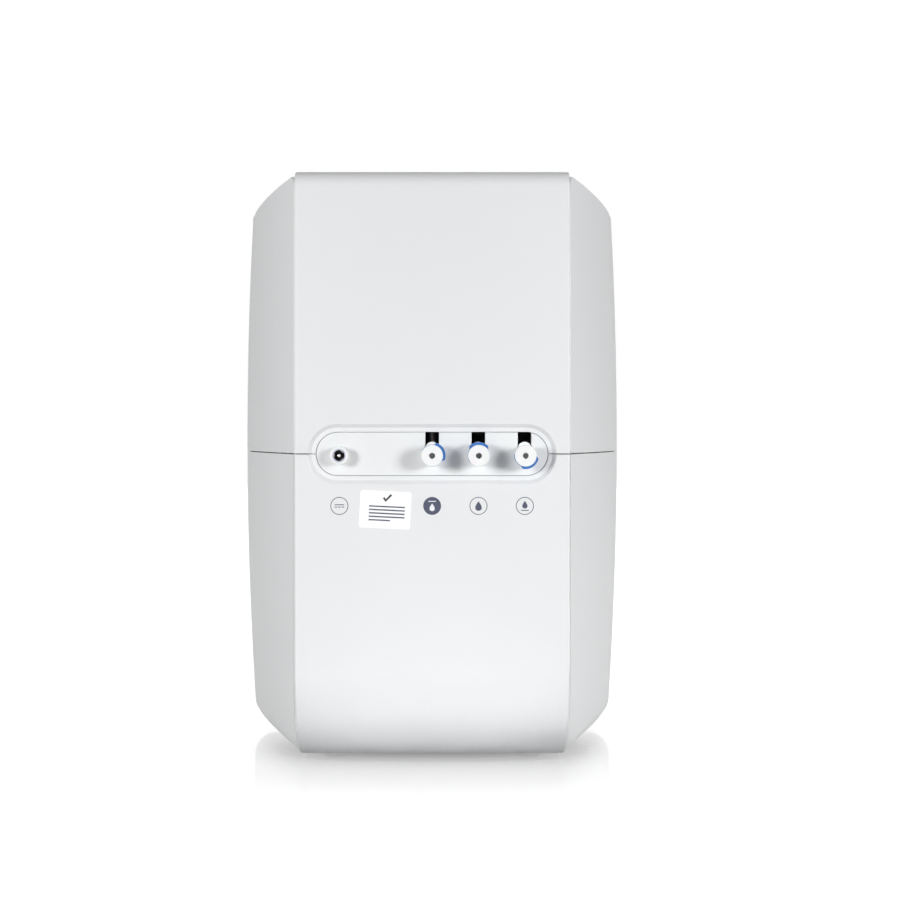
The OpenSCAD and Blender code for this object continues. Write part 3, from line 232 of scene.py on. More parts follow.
def on_plane(item, axis, place):
    """Whether an edge or face lies on a plane across an axis."""
    return all(abs(vert.co[axis] - place) < TINY for vert in item.verts)


def on_sides(item, half):
    """Whether an edge or face lies at a distance from the middle plane, on either side."""
    return all(abs(abs(vert.co.x) - half) < TINY for vert in item.verts)


def cut(bm, point, normal, **clear):
    """Cuts every face at a plane, and clears one side of it if asked."""
    everything = bm.verts[:] + bm.edges[:] + bm.faces[:]
    bmesh.ops.bisect_plane(bm, geom=everything, dist=ON_CUT, plane_co=point, plane_no=normal, **clear)


def round_corners(bm, verts, radius, segments):
    """Rounds corners of a flat outline."""
    bmesh.ops.bevel(
        bm, geom=verts, offset=radius, offset_type="OFFSET", affect="VERTICES",
        segments=segments, profile=0.5, material=-1,
    )


def round_edges(bm, edges, width, segments):
    """Rounds chosen edges."""
    if edges:
        bmesh.ops.bevel(
            bm, geom=edges, offset=width, offset_type="OFFSET", affect="EDGES",
            segments=segments, profile=0.5, material=-1, clamp_overlap=True,
        )


def sharp_edges(bm, degrees=28, test=None):
    """Edges between faces that meet at more than an angle."""
    limit = math.radians(degrees)
    return [
        edge for edge in bm.edges
        if edge.is_manifold and edge.calc_face_angle(0) > limit and (test is None or test(edge))
    ]


def tidy(bm):
    """Merges doubles and turns the faces outwards."""
    bmesh.ops.remove_doubles(bm, verts=bm.verts, dist=MERGE)
    bmesh.ops.recalc_face_normals(bm, faces=bm.faces)


def join(bm, other):
    """Adds another form's mesh to this one."""
    mesh = bpy.data.meshes.new("joined")
    other.to_mesh(mesh)
    other.free()
    bm.from_mesh(mesh)
    bpy.data.meshes.remove(mesh)


def mirror_across(bm):
    """Adds the mirror image across the middle plane."""
    everything = bm.verts[:] + bm.edges[:] + bm.faces[:]
    bmesh.ops.mirror(bm, geom=everything, axis="X", merge_dist=MERGE)


def moved(geom):
    """The vertices among the geometry that an operator returns."""
    return [item for item in geom if isinstance(item, bmesh.types.BMVert)]


def piece(name, bm, finish, body, nodes=()):
    """Turns a form into a piece of the object that rides on a body."""
    mesh = bpy.data.meshes.new(name)
    bm.to_mesh(mesh)
    bm.free()
    mesh.materials.append(finish)
    mesh.shade_smooth()
    mesh.set_sharp_from_angle(angle=SMOOTH_LIMIT)
    made = bpy.data.objects.new(name, mesh)
    bpy.context.scene.collection.objects.link(made)
    even = made.modifiers.new("even_shading", "WEIGHTED_NORMAL")
    even.keep_sharp = True
    even.weight = 80
    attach(made, body)
    if nodes:
        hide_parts(*nodes)


def merged(node):
    """A merged copy of a node's mesh, with its flat faces joined."""
    bm = bmesh.new()
    bm.from_mesh(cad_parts[node].data)
    bmesh.ops.remove_doubles(bm, verts=bm.verts, dist=2 * MERGE)
    bmesh.ops.dissolve_limit(
        bm, angle_limit=FLAT_LIMIT, use_dissolve_boundaries=False,
        verts=bm.verts, edges=bm.edges, delimit={"NORMAL"},
    )
    return bm


def softened(node, width):
    """A merged copy of a node's mesh with its sharp edges rounded."""
    bm = merged(node)
    round_edges(bm, sharp_edges(bm), width, 2)
    return bm


def turned(profile, centre, axis, steps):
    """Spins a profile of (radius, along) pairs about an axis through a point."""
    bm = bmesh.new()
    axis = Vector(axis)
    across = axis.orthogonal().normalized()
    verts = [bm.verts.new(Vector(centre) + across * radius + axis * along) for radius, along in profile]
    edges = [bm.edges.new(pair) for pair in zip(verts, verts[1:])]
    bmesh.ops.spin(
        bm, geom=verts + edges, cent=centre, axis=axis, angle=2 * math.pi, steps=steps, use_merge=True,
    )
    tidy(bm)
    return bm


def rounded_block(low, high, edge, place):
    """A box between two corners with rounded edges, set at a place."""
    bm = bmesh.new()
    bmesh.ops.create_cube(bm, size=1)
    bmesh.ops.scale(bm, vec=high - low, verts=bm.verts)
    bmesh.ops.translate(bm, vec=(low + high) / 2, verts=bm.verts)
    round_edges(bm, bm.edges[:], edge, 2)
    bmesh.ops.transform(bm, matrix=place, verts=bm.verts)
    return bm


UPRIGHT = Matrix.Rotation(math.pi / 2, 4, "X")


def bar(width, height, x=0.0, z=0.0):
    """A flat bar in the XZ plane."""
    bm = bmesh.new()
    bmesh.ops.create_grid(bm, x_segments=1, y_segments=1, size=0.5, matrix=UPRIGHT)
    bmesh.ops.scale(bm, vec=(width, 1, height), verts=bm.verts)
    bmesh.ops.translate(bm, vec=(x, 0, z), verts=bm.verts)
    return bm


def disc(radius):
    """A flat disc in the XZ plane."""
    bm = bmesh.new()
    bmesh.ops.create_circle(bm, cap_ends=True, segments=64, radius=radius, matrix=UPRIGHT)
    return bm


def hoop(radius, line):
    """A flat ring in the XZ plane."""
    bm = bmesh.new()
    for edge in (radius - line / 2, radius + line / 2):
        bmesh.ops.create_circle(bm, cap_ends=False, segments=64, radius=edge, matrix=UPRIGHT)
    bmesh.ops.bridge_loops(bm, edges=bm.edges[:])
    return bm


DROP_WIDTH, DROP_HEIGHT, DROP_TAPER = 1.25, 1.35, 1.3


def drop(radius, x=0.0, z=0.0):
    """A flat water drop in the XZ plane, with its tip up."""
    bm = bmesh.new()
    bmesh.ops.create_circle(bm, cap_ends=True, segments=40, radius=radius, matrix=UPRIGHT)
    for vert in bm.verts:
        turn = math.atan2(vert.co.x, vert.co.z)
        vert.co.x = DROP_WIDTH * radius * math.sin(turn) * abs(math.sin(turn / 2)) ** DROP_TAPER
        vert.co.z = DROP_HEIGHT * radius * math.cos(turn)
    bmesh.ops.translate(bm, vec=(x, 0, z), verts=bm.verts)
    return bm


def tick(size):
    """A flat tick in the XZ plane."""
    bm = bmesh.new()
    line = 0.16
    points = ((-0.5, 0.05), (-0.18, -0.32), (0.5, 0.42), (0.5 - line, 0.55), (-0.18, -0.03), (-0.5 + line, 0.2))
    bm.faces.new([bm.verts.new((x * size, 0, z * size)) for x, z in points])
    return bm


def gather(*forms):
    """Joins forms into the first."""
    for other in forms[1:]:
        join(forms[0], other)
    return forms[0]


def raised(bm, thickness, place, tilt=0.0, to_front=False):
    """Gives flat faces a thickness and sets them on a surface at a place, facing the rear or the front."""
    made = bmesh.ops.extrude_face_region(bm, geom=bm.faces[:], use_keep_orig=True)
    bmesh.ops.translate(bm, vec=(0, -thickness, 0), verts=moved(made["geom"]))
    tidy(bm)
    turn = Matrix.Rotation(math.pi if to_front else 0, 4, "Z") @ Matrix.Rotation(tilt, 4, "Y")
    bmesh.ops.transform(bm, matrix=Matrix.Translation(place) @ turn, verts=bm.verts)
    return bm


def math_node(operation, flipped=False):
    """A method that adds a Math node to a socket."""

    def method(self, other=0.0):
        first, second = (other, self) if flipped else (self, other)
        return self.finish.node("ShaderNodeMath", {"operation": operation}, {0: first, 1: second})

    return method


class Value:
    """A shader socket that takes part in sums."""

    def __init__(self, finish, socket):
        self.finish, self.socket = finish, socket

    __add__ = __radd__ = math_node("ADD")
    __sub__ = math_node("SUBTRACT")
    __rsub__ = math_node("SUBTRACT", True)
    __mul__ = __rmul__ = math_node("MULTIPLY")
    __truediv__ = math_node("DIVIDE")
    above = math_node("GREATER_THAN")
    size = math_node("ABSOLUTE")
    most = math_node("MAXIMUM")
    power = math_node("POWER")


class Finish:
    """A material built from nodes."""

    def __init__(self, name, tree=None):
        self.material = None
        if tree is None:
            self.material = bpy.data.materials.new(name)
            self.material.use_nodes = True
            tree = self.material.node_tree
        self.tree = tree
        tree.nodes.clear()

    def node(self, kind, settings=None, inputs=None, output=0):
        """Adds a node, with its settings set before its sockets, and gives one of its outputs."""
        made = self.tree.nodes.new(kind)
        for key, value in (settings or {}).items():
            setattr(made, key, value)
        for key, value in (inputs or {}).items():
            if isinstance(value, Value):
                self.tree.links.new(value.socket, made.inputs[key])
            else:
                made.inputs[key].default_value = value
        return Value(self, made.outputs[output]) if made.outputs else None

    def place(self):
        """Object coordinates."""
        return self.node("ShaderNodeTexCoord", output="Object")

    def noise(self, scale, detail=2.0, where=None):
        inputs = {"Vector": where or self.place(), "Scale": scale, "Detail": detail}
        return self.node("ShaderNodeTexNoise", None, inputs)

    def mix(self, factor, first, second):
        """Mixes two colours."""
        return self.node("ShaderNodeMix", {"data_type": "RGBA"}, {0: factor, 6: first, 7: second}, output=2)

    def surface(self, **sockets):
        """Ends the material in one shader; an underscore in a socket's name stands for a space."""
        inputs = {name.replace("_", " "): value for name, value in sockets.items()}
        shader = self.node("ShaderNodeBsdfPrincipled", None, inputs)
        self.node("ShaderNodeOutputMaterial", None, {"Surface": shader})
        return self.material

    def skin(self, pattern, dark, light, roughness, relief=None, depth=0.0, **sockets):
        """A surface with a pattern of two colours, an uneven gloss and a relief."""
        if relief is not None:
            sockets["Normal"] = self.node("ShaderNodeBump", None, {"Height": relief, "Distance": depth})
        return self.surface(Base_Color=self.mix(pattern, dark, light), Roughness=roughness, **sockets)


def rgba(shade, factor=1.0):
    return (shade[0] * factor, shade[1] * factor, shade[2] * factor, 1.0)


def moulded(name, shade, roughness, grain=0.0006, depth=0.000012, drift=0.02):
    """Moulded plastic: fine spark grain, faint flow variation and uneven gloss."""
    finish = Finish(name)
    fine, broad, gloss = finish.noise(1 / grain, 1.5), finish.noise(14.0), finish.noise(60.0)
    uneven = roughness - 0.05 + gloss * 0.1
    return finish.skin(broad, rgba(shade, 1 - drift), rgba(shade), uneven, fine, depth)


def smooth_plastic(name, shade, roughness, subsurface=0.0):
    """Smooth plastic with faint drag marks."""
    finish = Finish(name)
    broad, marks = finish.noise(90.0, 3.0), finish.noise(420.0)
    return finish.skin(
        broad, rgba(shade, 0.965), rgba(shade), roughness + marks * 0.12, marks, 0.00001,
        Subsurface_Weight=subsurface, Subsurface_Scale=0.002,
    )


def metal(name, shade, roughness, streak=0.12):
    """Plated or drawn metal with fine streaks along X."""
    finish = Finish(name)
    drawn = {"Vector": finish.place(), "Scale": (60.0, 2200.0, 2200.0)}
    streaks = finish.noise(1.0, 2.0, finish.node("ShaderNodeMapping", None, drawn))
    cloud = finish.noise(120.0, 3.0)
    return finish.skin(
        cloud, rgba(shade, 0.9), rgba(shade), roughness + streaks * streak, streaks, 0.000006, Metallic=1.0,
    )


def rubber(name, shade):
    """Matt rubber with dusty pores."""
    finish = Finish(name)
    pores, dust = finish.noise(1600.0), finish.noise(80.0, 4.0)
    return finish.skin(dust, rgba(shade), (0.05, 0.05, 0.052, 1), 0.72 + pores * 0.15, pores, 0.00003)


def fibre(name, shade, second, pitch):
    """Wound or pressed filter media."""
    finish = Finish(name)
    lines = finish.node("ShaderNodeTexWave", {"wave_type": "BANDS", "bands_direction": "Z"}, {
        "Vector": finish.place(), "Scale": 1 / pitch / 6.28,
        "Distortion": 1.2, "Detail": 2.0, "Detail Scale": 3.0,
    })
    fuzz = finish.noise(900.0, 4.0)
    wound = lines * 0.6 + fuzz * 0.4
    return finish.skin(wound, rgba(shade), rgba(second), 0.85 + fuzz * 0.1, lines + fuzz * 0.5, 0.0004)


def board_mask(name):
    """Green board with tracks under the mask."""
    finish = Finish(name)
    where = finish.place()
    cells = finish.node(
        "ShaderNodeTexVoronoi", {"distance": "MANHATTAN", "feature": "F1"},
        {"Vector": where, "Scale": 190.0, "Randomness": 0.75},
    )
    tracks = finish.node("ShaderNodeMath", {"operation": "PINGPONG"}, {0: cells, 1: 0.12}).above(0.075)
    grain = finish.noise(300.0, 2.0, where)
    mask, track = (0.012, 0.075, 0.032, 1), (0.03, 0.15, 0.06, 1)
    return finish.skin(tracks, mask, track, 0.28 + grain * 0.15, tracks, 0.00003)


def winding(name, shade):
    """Lacquered wire in turns across X."""
    finish = Finish(name)
    turns = finish.node(
        "ShaderNodeTexWave", {"wave_type": "BANDS", "bands_direction": "X"},
        {"Vector": finish.place(), "Scale": 400.0, "Distortion": 0.4, "Detail": 1.0},
    )
    return finish.skin(
        turns, rgba(shade, 0.55), rgba(shade), 0.3 + turns * 0.1, turns, 0.0003, Metallic=0.8,
    )


def clear_tube(name):
    """Milky water tube with a faint haze."""
    finish = Finish(name)
    haze = finish.noise(70.0, 3.0)
    return finish.skin(
        haze, (0.72, 0.76, 0.79, 1), (0.82, 0.85, 0.87, 1), 0.18 + haze * 0.12, haze, 0.00004,
        Subsurface_Weight=0.25, Subsurface_Scale=0.002,
    )


def tinted_window(name):
    """Dark, glossy display window with faint smears."""
    finish = Finish(name)
    smear = finish.noise(45.0, 3.0)
    return finish.skin(
        smear, (0.006, 0.007, 0.009, 1), (0.012, 0.013, 0.016, 1), 0.05 + smear * 0.06,
        Coat_Weight=0.6, Coat_Roughness=0.03,
    )


def sticker_paper(name):
    """Coated label paper with a faint fibre."""
    finish = Finish(name)
    fibres = finish.noise(1500.0, 3.0)
    return finish.skin(
        fibres, (0.95, 0.95, 0.95, 1), (0.98, 0.98, 0.98, 1), 0.5 + fibres * 0.1, fibres, 0.000008,
    )


def printed(name, shade):
    """Pad printed ink, a little uneven."""
    finish = Finish(name)
    uneven = finish.noise(900.0, 3.0)
    return finish.skin(uneven, rgba(shade, 0.9), rgba(shade, 1.12), 0.45 + uneven * 0.15)


# Heights above a cartridge's foot, in millimetres: the grip's ribs, the ring over them, the wrap and its bars.
RIB_ENDS = (12, 46)
RING_ENDS = (47, 51)
WRAP_ENDS = (78, 236)
WRAP_BARS = ((196, 226), (86, 92))
RIB_COUNT, RIB_HALF, RIB_SINK, RIB_RISE = 26, 1.4 * MM, 0.6 * MM, 0.9 * MM
RIB_EDGE, WRAP_FILM = 0.5 * MM, 0.2 * MM


def printed_wrap(name, shade):
    """Coated wrap with two bars of colour."""
    finish = Finish(name)
    foot = low_corner("membrane_housing").z
    z = finish.node("ShaderNodeSeparateXYZ", None, {"Vector": finish.place()}, "Z") - foot
    wide, thin = (z.above(start * MM) * (1 - z.above(end * MM)) for start, end in WRAP_BARS)
    fibres = finish.noise(1200.0, 3.0)
    ink = finish.mix(fibres, rgba(shade, 0.92), rgba(shade))
    return finish.skin(wide + thin, (0.86, 0.87, 0.87, 1), ink, 0.34 + fibres * 0.1, fibres, 0.00001)


def lit_segments(name):
    """Glowing display segments behind the tinted window."""
    finish = Finish(name)
    cells = finish.noise(700.0, 1.0)
    return finish.surface(
        Base_Color=(0.6, 0.8, 0.9, 1), Roughness=0.4, Emission_Strength=0.9,
        Emission_Color=finish.mix(cells, (0.42, 0.74, 0.95, 1), (0.62, 0.88, 1.0, 1)),
    )


FINISHES = {}


def finish_set(context):
    """All finishes, made once."""
    colours = context.scene.purifier_finishes
    if not FINISHES:
        FINISHES.update(
            casing=moulded("casing_white", colours.casing, 0.4, depth=0.000007),
            panel=moulded("panel_white", colours.panel, 0.36, 0.0005),
            acetal=smooth_plastic("acetal_white", colours.acetal, 0.3, 0.1),
            clip=smooth_plastic("clip_blue", colours.clip, 0.26),
            ink=printed("slate_ink", colours.ink),
            pale_ink=printed("pale_ink", (0.82, 0.83, 0.85)),
            paper=sticker_paper("label_paper"),
            black=moulded("black_plastic", colours.dark, 0.42, 0.0006, 0.00003),
            rubber=rubber("foot_rubber", colours.dark),
            steel=metal("zinc_steel", (0.60, 0.61, 0.63), 0.3),
            bright=metal("plated_contact", (0.86, 0.86, 0.87), 0.1, 0.06),
            frame=moulded("frame_grey", colours.grey, 0.5, 0.0008, 0.00003, 0.06),
            manifold=moulded("manifold_grey", (0.60, 0.62, 0.64), 0.45, 0.0008, 0.00002, 0.04),
            cartridge=smooth_plastic("cartridge_white", (0.86, 0.87, 0.87), 0.22),
            prefilter_wrap=printed_wrap("wrap_green", (0.10, 0.36, 0.22)),
            membrane_wrap=printed_wrap("wrap_blue", (0.05, 0.19, 0.50)),
            postfilter_wrap=printed_wrap("wrap_slate", (0.13, 0.15, 0.19)),
            media=fibre("pressed_media", (0.62, 0.58, 0.49), (0.80, 0.77, 0.69), 0.004),
            carbon=fibre("carbon_block", (0.012, 0.012, 0.013), (0.035, 0.035, 0.037), 0.006),
            pump=moulded("pump_black", (0.03, 0.032, 0.036), 0.4, 0.001, 0.00004),
            copper=winding("copper_winding", (0.60, 0.30, 0.12)),
            brass=metal("turned_brass", (0.72, 0.55, 0.24), 0.25),
            coil=moulded("coil_blue", (0.02, 0.06, 0.19), 0.4, 0.0012, 0.00004),
            board=board_mask("board_green"),
            tube=clear_tube("milky_tube"),
            window=tinted_window("display_tint"),
            segments=lit_segments("display_segments"),
            # Pale lavender of the inlet's ring, which is painted shade for the shaded inner edge of the white
            # shell.
            lavender=smooth_plastic("painted_shade_lavender", (0.66, 0.66, 0.83), 0.3),
        )
    return FINISHES


def side_skin(shape, front):
    """Outer skin of one side panel, from the band's edge to a depth."""
    sizes = shape.sizes
    bm = bmesh.new()
    low, top, rear = shape.side_low, shape.roof(0), sizes.band_rise
    corners = [(rear, low), (front, low), (front, shape.roof(front)), (rear, top)]
    verts = [bm.verts.new((0, sizes.rear + depth, z)) for depth, z in corners]
    bm.faces.new(verts)
    round_corners(bm, verts[:1], sizes.rear_low_radius - sizes.low_step, 24)
    round_corners(bm, verts[3:], sizes.rear_top_radius - sizes.band_rise, 8)
    for depth in spread(rear, front, 30):
        cut(bm, (0, sizes.rear + depth, 0), (0, 1, 0))
    heights = shape.low_heights(10)
    for z in heights + spread(heights[-1], top, 26):
        cut(bm, (0, 0, z), (0, 0, 1))
    outline = [edge for edge in bm.edges if edge.is_boundary and not on_plane(edge, 1, sizes.rear + front)]
    for vert in bm.verts:
        vert.co.x = shape.flank(vert.co.y - sizes.rear, vert.co.z)
    made = bmesh.ops.extrude_edge_only(bm, edges=outline)
    for vert in moved(made["geom"]):
        way = inward(sizes, vert.co)
        vert.co += way * way.y**2 * sizes.groove
        vert.co.x = sizes.band_width / 2 - sizes.groove
    return bm


def band_outline(sizes, front):
    """The band's outline as a chain of edges on its left edge, open to the front."""
    bm = bmesh.new()
    corners = [(0, sizes.low), (front, sizes.low), (front, sizes.top), (0, sizes.top)]
    verts = [bm.verts.new((-sizes.band_width / 2, sizes.rear + depth, z)) for depth, z in corners]
    bm.faces.new(verts)
    round_corners(bm, verts[:1], sizes.rear_low_radius, 30)
    round_corners(bm, verts[3:], sizes.rear_top_radius, 10)
    bmesh.ops.delete(bm, geom=bm.faces[:], context="FACES_ONLY")
    front_edges = [edge for edge in bm.edges if on_plane(edge, 1, sizes.rear + front)]
    bmesh.ops.delete(bm, geom=front_edges, context="EDGES")
    return bm


def inward(sizes, co):
    """Direction into the casing at a point of the band's outline."""
    depth, z = co.y - sizes.rear, co.z
    for radius, centre_z, sign in (
        (sizes.rear_top_radius, sizes.top - sizes.rear_top_radius, 1),
        (sizes.rear_low_radius, sizes.low + sizes.rear_low_radius, -1),
    ):
        if depth < radius - TINY and sign * (z - centre_z) > TINY:
            return Vector((0, radius - depth, centre_z - z)).normalized()
    if depth < sizes.band_rise + TINY:
        return Vector((0, 1, 0))
    return Vector((0, 0, -1 if z > sizes.seam else 1))


def recess_point(sizes, co, radius, depth):
    """A point of the recess outline, drawn to another radius and depth."""
    centre = Vector((math.copysign(sizes.recess_half, co.x), co.y, sizes.seam))
    ray = (co - centre).normalized()
    return centre + ray * radius + Vector((0, depth, 0))


def open_recess(bm, sizes):
    """Opens the sloped recess in the band's flat rear face."""
    half_height = sizes.recess_radius + sizes.recess_margin
    faces = [face for face in bm.faces if on_plane(face, 1, sizes.rear)]
    edges = [edge for face in faces for edge in face.edges]
    geom = list(dict.fromkeys(faces + edges + [vert for face in faces for vert in face.verts]))
    for z in (sizes.seam - half_height, sizes.seam, sizes.seam + half_height):
        made = bmesh.ops.bisect_plane(bm, geom=geom, dist=ON_CUT, plane_co=(0, 0, z), plane_no=(0, 0, 1))
        geom = made["geom"]
    at_seam = [edge for edge in bm.edges if on_plane(edge, 2, sizes.seam) and on_plane(edge, 1, sizes.rear)]
    ends = sorted(at_seam[0].verts, key=lambda vert: vert.co.x)
    bmesh.ops.delete(bm, geom=at_seam, context="EDGES")
    place = Matrix.Translation((0, sizes.rear, sizes.seam)) @ UPRIGHT @ Matrix.Rotation(math.pi / 2, 4, "Z")
    ring = bmesh.ops.create_circle(
        bm, cap_ends=False, segments=98, radius=sizes.recess_radius, matrix=place,
    )["verts"]
    for vert in ring:
        vert.co.x += math.copysign(sizes.recess_half, vert.co.x)
    hole = list({edge for vert in ring for edge in vert.link_edges})
    tips = sorted((v for v in ring if abs(v.co.z - sizes.seam) < TINY), key=lambda v: v.co.x)
    bridges = [bm.edges.new((ends[0], tips[0])), bm.edges.new((ends[1], tips[1]))]
    for sign in (1, -1):
        loop = [edge for edge in hole if sign * (edge.verts[0].co.z + edge.verts[1].co.z - 2 * sizes.seam) > 0]
        margin = [
            edge for edge in bm.edges
            if len(edge.link_faces) < 2 and edge not in bridges and edge not in hole
            and on_plane(edge, 1, sizes.rear)
            and all(-TINY < sign * (vert.co.z - sizes.seam) < half_height + TINY for vert in edge.verts)
        ]
        bmesh.ops.contextual_create(bm, geom=loop + margin + bridges)
    slope_end = sizes.recess_radius - sizes.recess_slope
    land_end = slope_end - sizes.recess_land
    for radius, depth in ((slope_end, sizes.recess_deep), (land_end, 0)):
        made = bmesh.ops.extrude_edge_only(bm, edges=hole)["geom"]
        hole = [item for item in made if isinstance(item, bmesh.types.BMEdge) and item.is_boundary]
        for vert in moved(made):
            vert.co = recess_point(sizes, vert.co, radius, depth)


def band_skin(shape, front):
    """Outer skin of the band around the shells, with the recess and its edges turned in."""
    sizes = shape.sizes
    bm = band_outline(sizes, front)
    made = bmesh.ops.extrude_edge_only(bm, edges=bm.edges[:])["geom"]
    bmesh.ops.translate(bm, vec=(sizes.band_width, 0, 0), verts=moved(made))
    open_recess(bm, sizes)
    half = sizes.band_width / 2
    sides = [
        edge for edge in bm.edges
        if edge.is_boundary and (on_plane(edge, 0, half) or on_plane(edge, 0, -half))
    ]
    made = bmesh.ops.extrude_edge_only(bm, edges=sides)["geom"]
    for vert in moved(made):
        vert.co += inward(sizes, vert.co) * sizes.turn_in
    return bm


def shell_form(shape, upper):
    """One casing shell: side panels and band, cut at the seam and given a wall."""
    sizes = shape.sizes
    bm = side_skin(shape, sizes.shell_depth)
    mirror_across(bm)
    join(bm, band_skin(shape, sizes.shell_depth))
    tidy_skin(bm, shape)
    height = sizes.seam + sizes.seam_gap / 2 * (1 if upper else -1)
    cut(bm, (0, 0, height), (0, 0, 1), clear_inner=upper, clear_outer=not upper)
    bmesh.ops.solidify(bm, geom=bm.faces[:], thickness=sizes.wall)
    half = sizes.band_width / 2
    rear = sizes.rear

    def beside_band(edge):
        level = any(abs(face.normal.x) < 0.1 for face in edge.link_faces)
        return level and on_sides(edge, half) and not on_plane(edge, 2, height)

    def on_outline(edge):
        return all(
            abs(vert.co.x) > half and abs(abs(vert.co.x) - shape.flank(vert.co.y - rear, vert.co.z)) < TINY
            for vert in edge.verts
        )

    def around_recess(edge, depth=0.0):
        inside = all(abs(vert.co.x) < half - 1 * MM for vert in edge.verts)
        near = abs(edge.verts[0].co.z - sizes.seam) < sizes.recess_radius + TINY
        return inside and near and on_plane(edge, 1, rear + depth)

    def around_land(edge):
        return around_recess(edge, sizes.recess_deep)

    round_edges(bm, sharp_edges(bm, 40, beside_band), sizes.band_edge, 4)
    round_edges(bm, sharp_edges(bm, 15, on_outline), sizes.side_edge, 4)
    round_edges(bm, sharp_edges(bm, 20, around_recess), sizes.recess_edge, 3)
    round_edges(bm, sharp_edges(bm, 20, around_land), sizes.land_edge, 2)
    return bm


def tidy_skin(bm, shape):
    """Turns the skin's faces out of the casing."""
    bmesh.ops.remove_doubles(bm, verts=bm.verts, dist=MERGE)
    heart = Vector((0, shape.sizes.rear + shape.sizes.shell_depth * 0.6, shape.sizes.seam))
    bm.normal_update()
    wrong = [f for f in bm.faces if f.normal.dot(f.calc_center_median() - heart) < 0]
    bmesh.ops.reverse_faces(bm, faces=wrong)
    bm.normal_update()


class PURIFIER_OT_shells(bpy.types.Operator):
    """Models the upper and the lower shell of the casing"""

    bl_idname = "purifier.shells"
    bl_label = "Casing shells"

    def execute(self, context):
        shape = CasingShape(context.scene.purifier_casing)
        white = finish_set(context)["casing"]
        for node, upper in (("upper_shell", True), ("lower_shell", False)):
            piece(node + "_skin", shell_form(shape, upper), white, "casing", [node])
        return {"FINISHED"}


# Half size of the area around the display and the buttons, whose edges stay crisp.
CONTROLS_HALF = Vector((62, 0, 24)) * MM


def cover_form(shape):
    """The front cover: its solid's form with a rounded outline, and a roof that runs on from the shells'.

    Edges around the display and the buttons are kept crisp.
    """
    sizes = shape.sizes
    half = sizes.band_width / 2
    bm = merged("front_cover")
    for vert in bm.verts:
        if abs(vert.co.z - shape.side_top) < TINY and abs(vert.co.x) > half - TINY:
            vert.co.z = shape.roof(vert.co.y - sizes.rear)
    bm.normal_update()
    heart = middle("front_cover")
    heart.y = low_corner("front_cover").y
    controls = middle("display_lens")

    def outer(edge):
        away = (edge.verts[0].co + edge.verts[1].co) / 2 - controls
        if not edge.is_convex or abs(away.z) < CONTROLS_HALF.z and abs(away.x) < CONTROLS_HALF.x:
            return False
        return all(face.normal.dot(face.calc_center_median() - heart) > 1 * MM for face in edge.link_faces)

    def upper_corner(edge):
        run = edge.verts[0].co - edge.verts[1].co
        return outer(edge) and abs(run.y) > abs(run.x) and all(
            abs(vert.co.x) > half + 20 * MM and vert.co.z > shape.side_top - 3 * MM for vert in edge.verts
        )

    round_edges(bm, sharp_edges(bm, test=upper_corner), 2 * sizes.side_edge, 5)
    round_edges(bm, sharp_edges(bm, test=outer), sizes.side_edge, 4)
    round_edges(bm, sharp_edges(bm), 0.3 * MM, 2)
    return bm


class PURIFIER_OT_cover(bpy.types.Operator):
    """Models the front cover"""

    bl_idname = "purifier.cover"
    bl_label = "Front cover"

    def execute(self, context):
        shape = CasingShape(context.scene.purifier_casing)
        white = finish_set(context)["casing"]
        piece("front_cover_form", cover_form(shape), white, "cover", ["front_cover"])
        return {"FINISHED"}


# Width, place across and place up in millimetres: strokes of the direct current sign, and the label's rules.
CURRENT_SIGN = ((6.6, 0, 0.8), (1.8, -2.4, -0.8), (1.8, 0, -0.8), (1.8, 2.4, -0.8))
LABEL_RULES = ((25, 1.2, 2.2), (25, 1.2, -0.2), (25, 1.2, -2.6), (25, 1.2, -5.0), (15, -3.8, -7.4))
LABEL_INK, LABEL_EDGE = 0.03 * MM, 0.03 * MM
TICK_SIZE, TICK_PLACE = 6.4 * MM, Vector((1.2, 0, 7.6)) * MM
MARK_DROP, WATER_DROP, WATER_LINE = 2.5 * MM, 2.0 * MM, 5.4 * MM


def rules(rows, height):
    """Flat bars of one height, from rows of width, place across and place up in millimetres."""
    return gather(*(bar(width * MM, height, x * MM, z * MM) for width, x, z in rows))


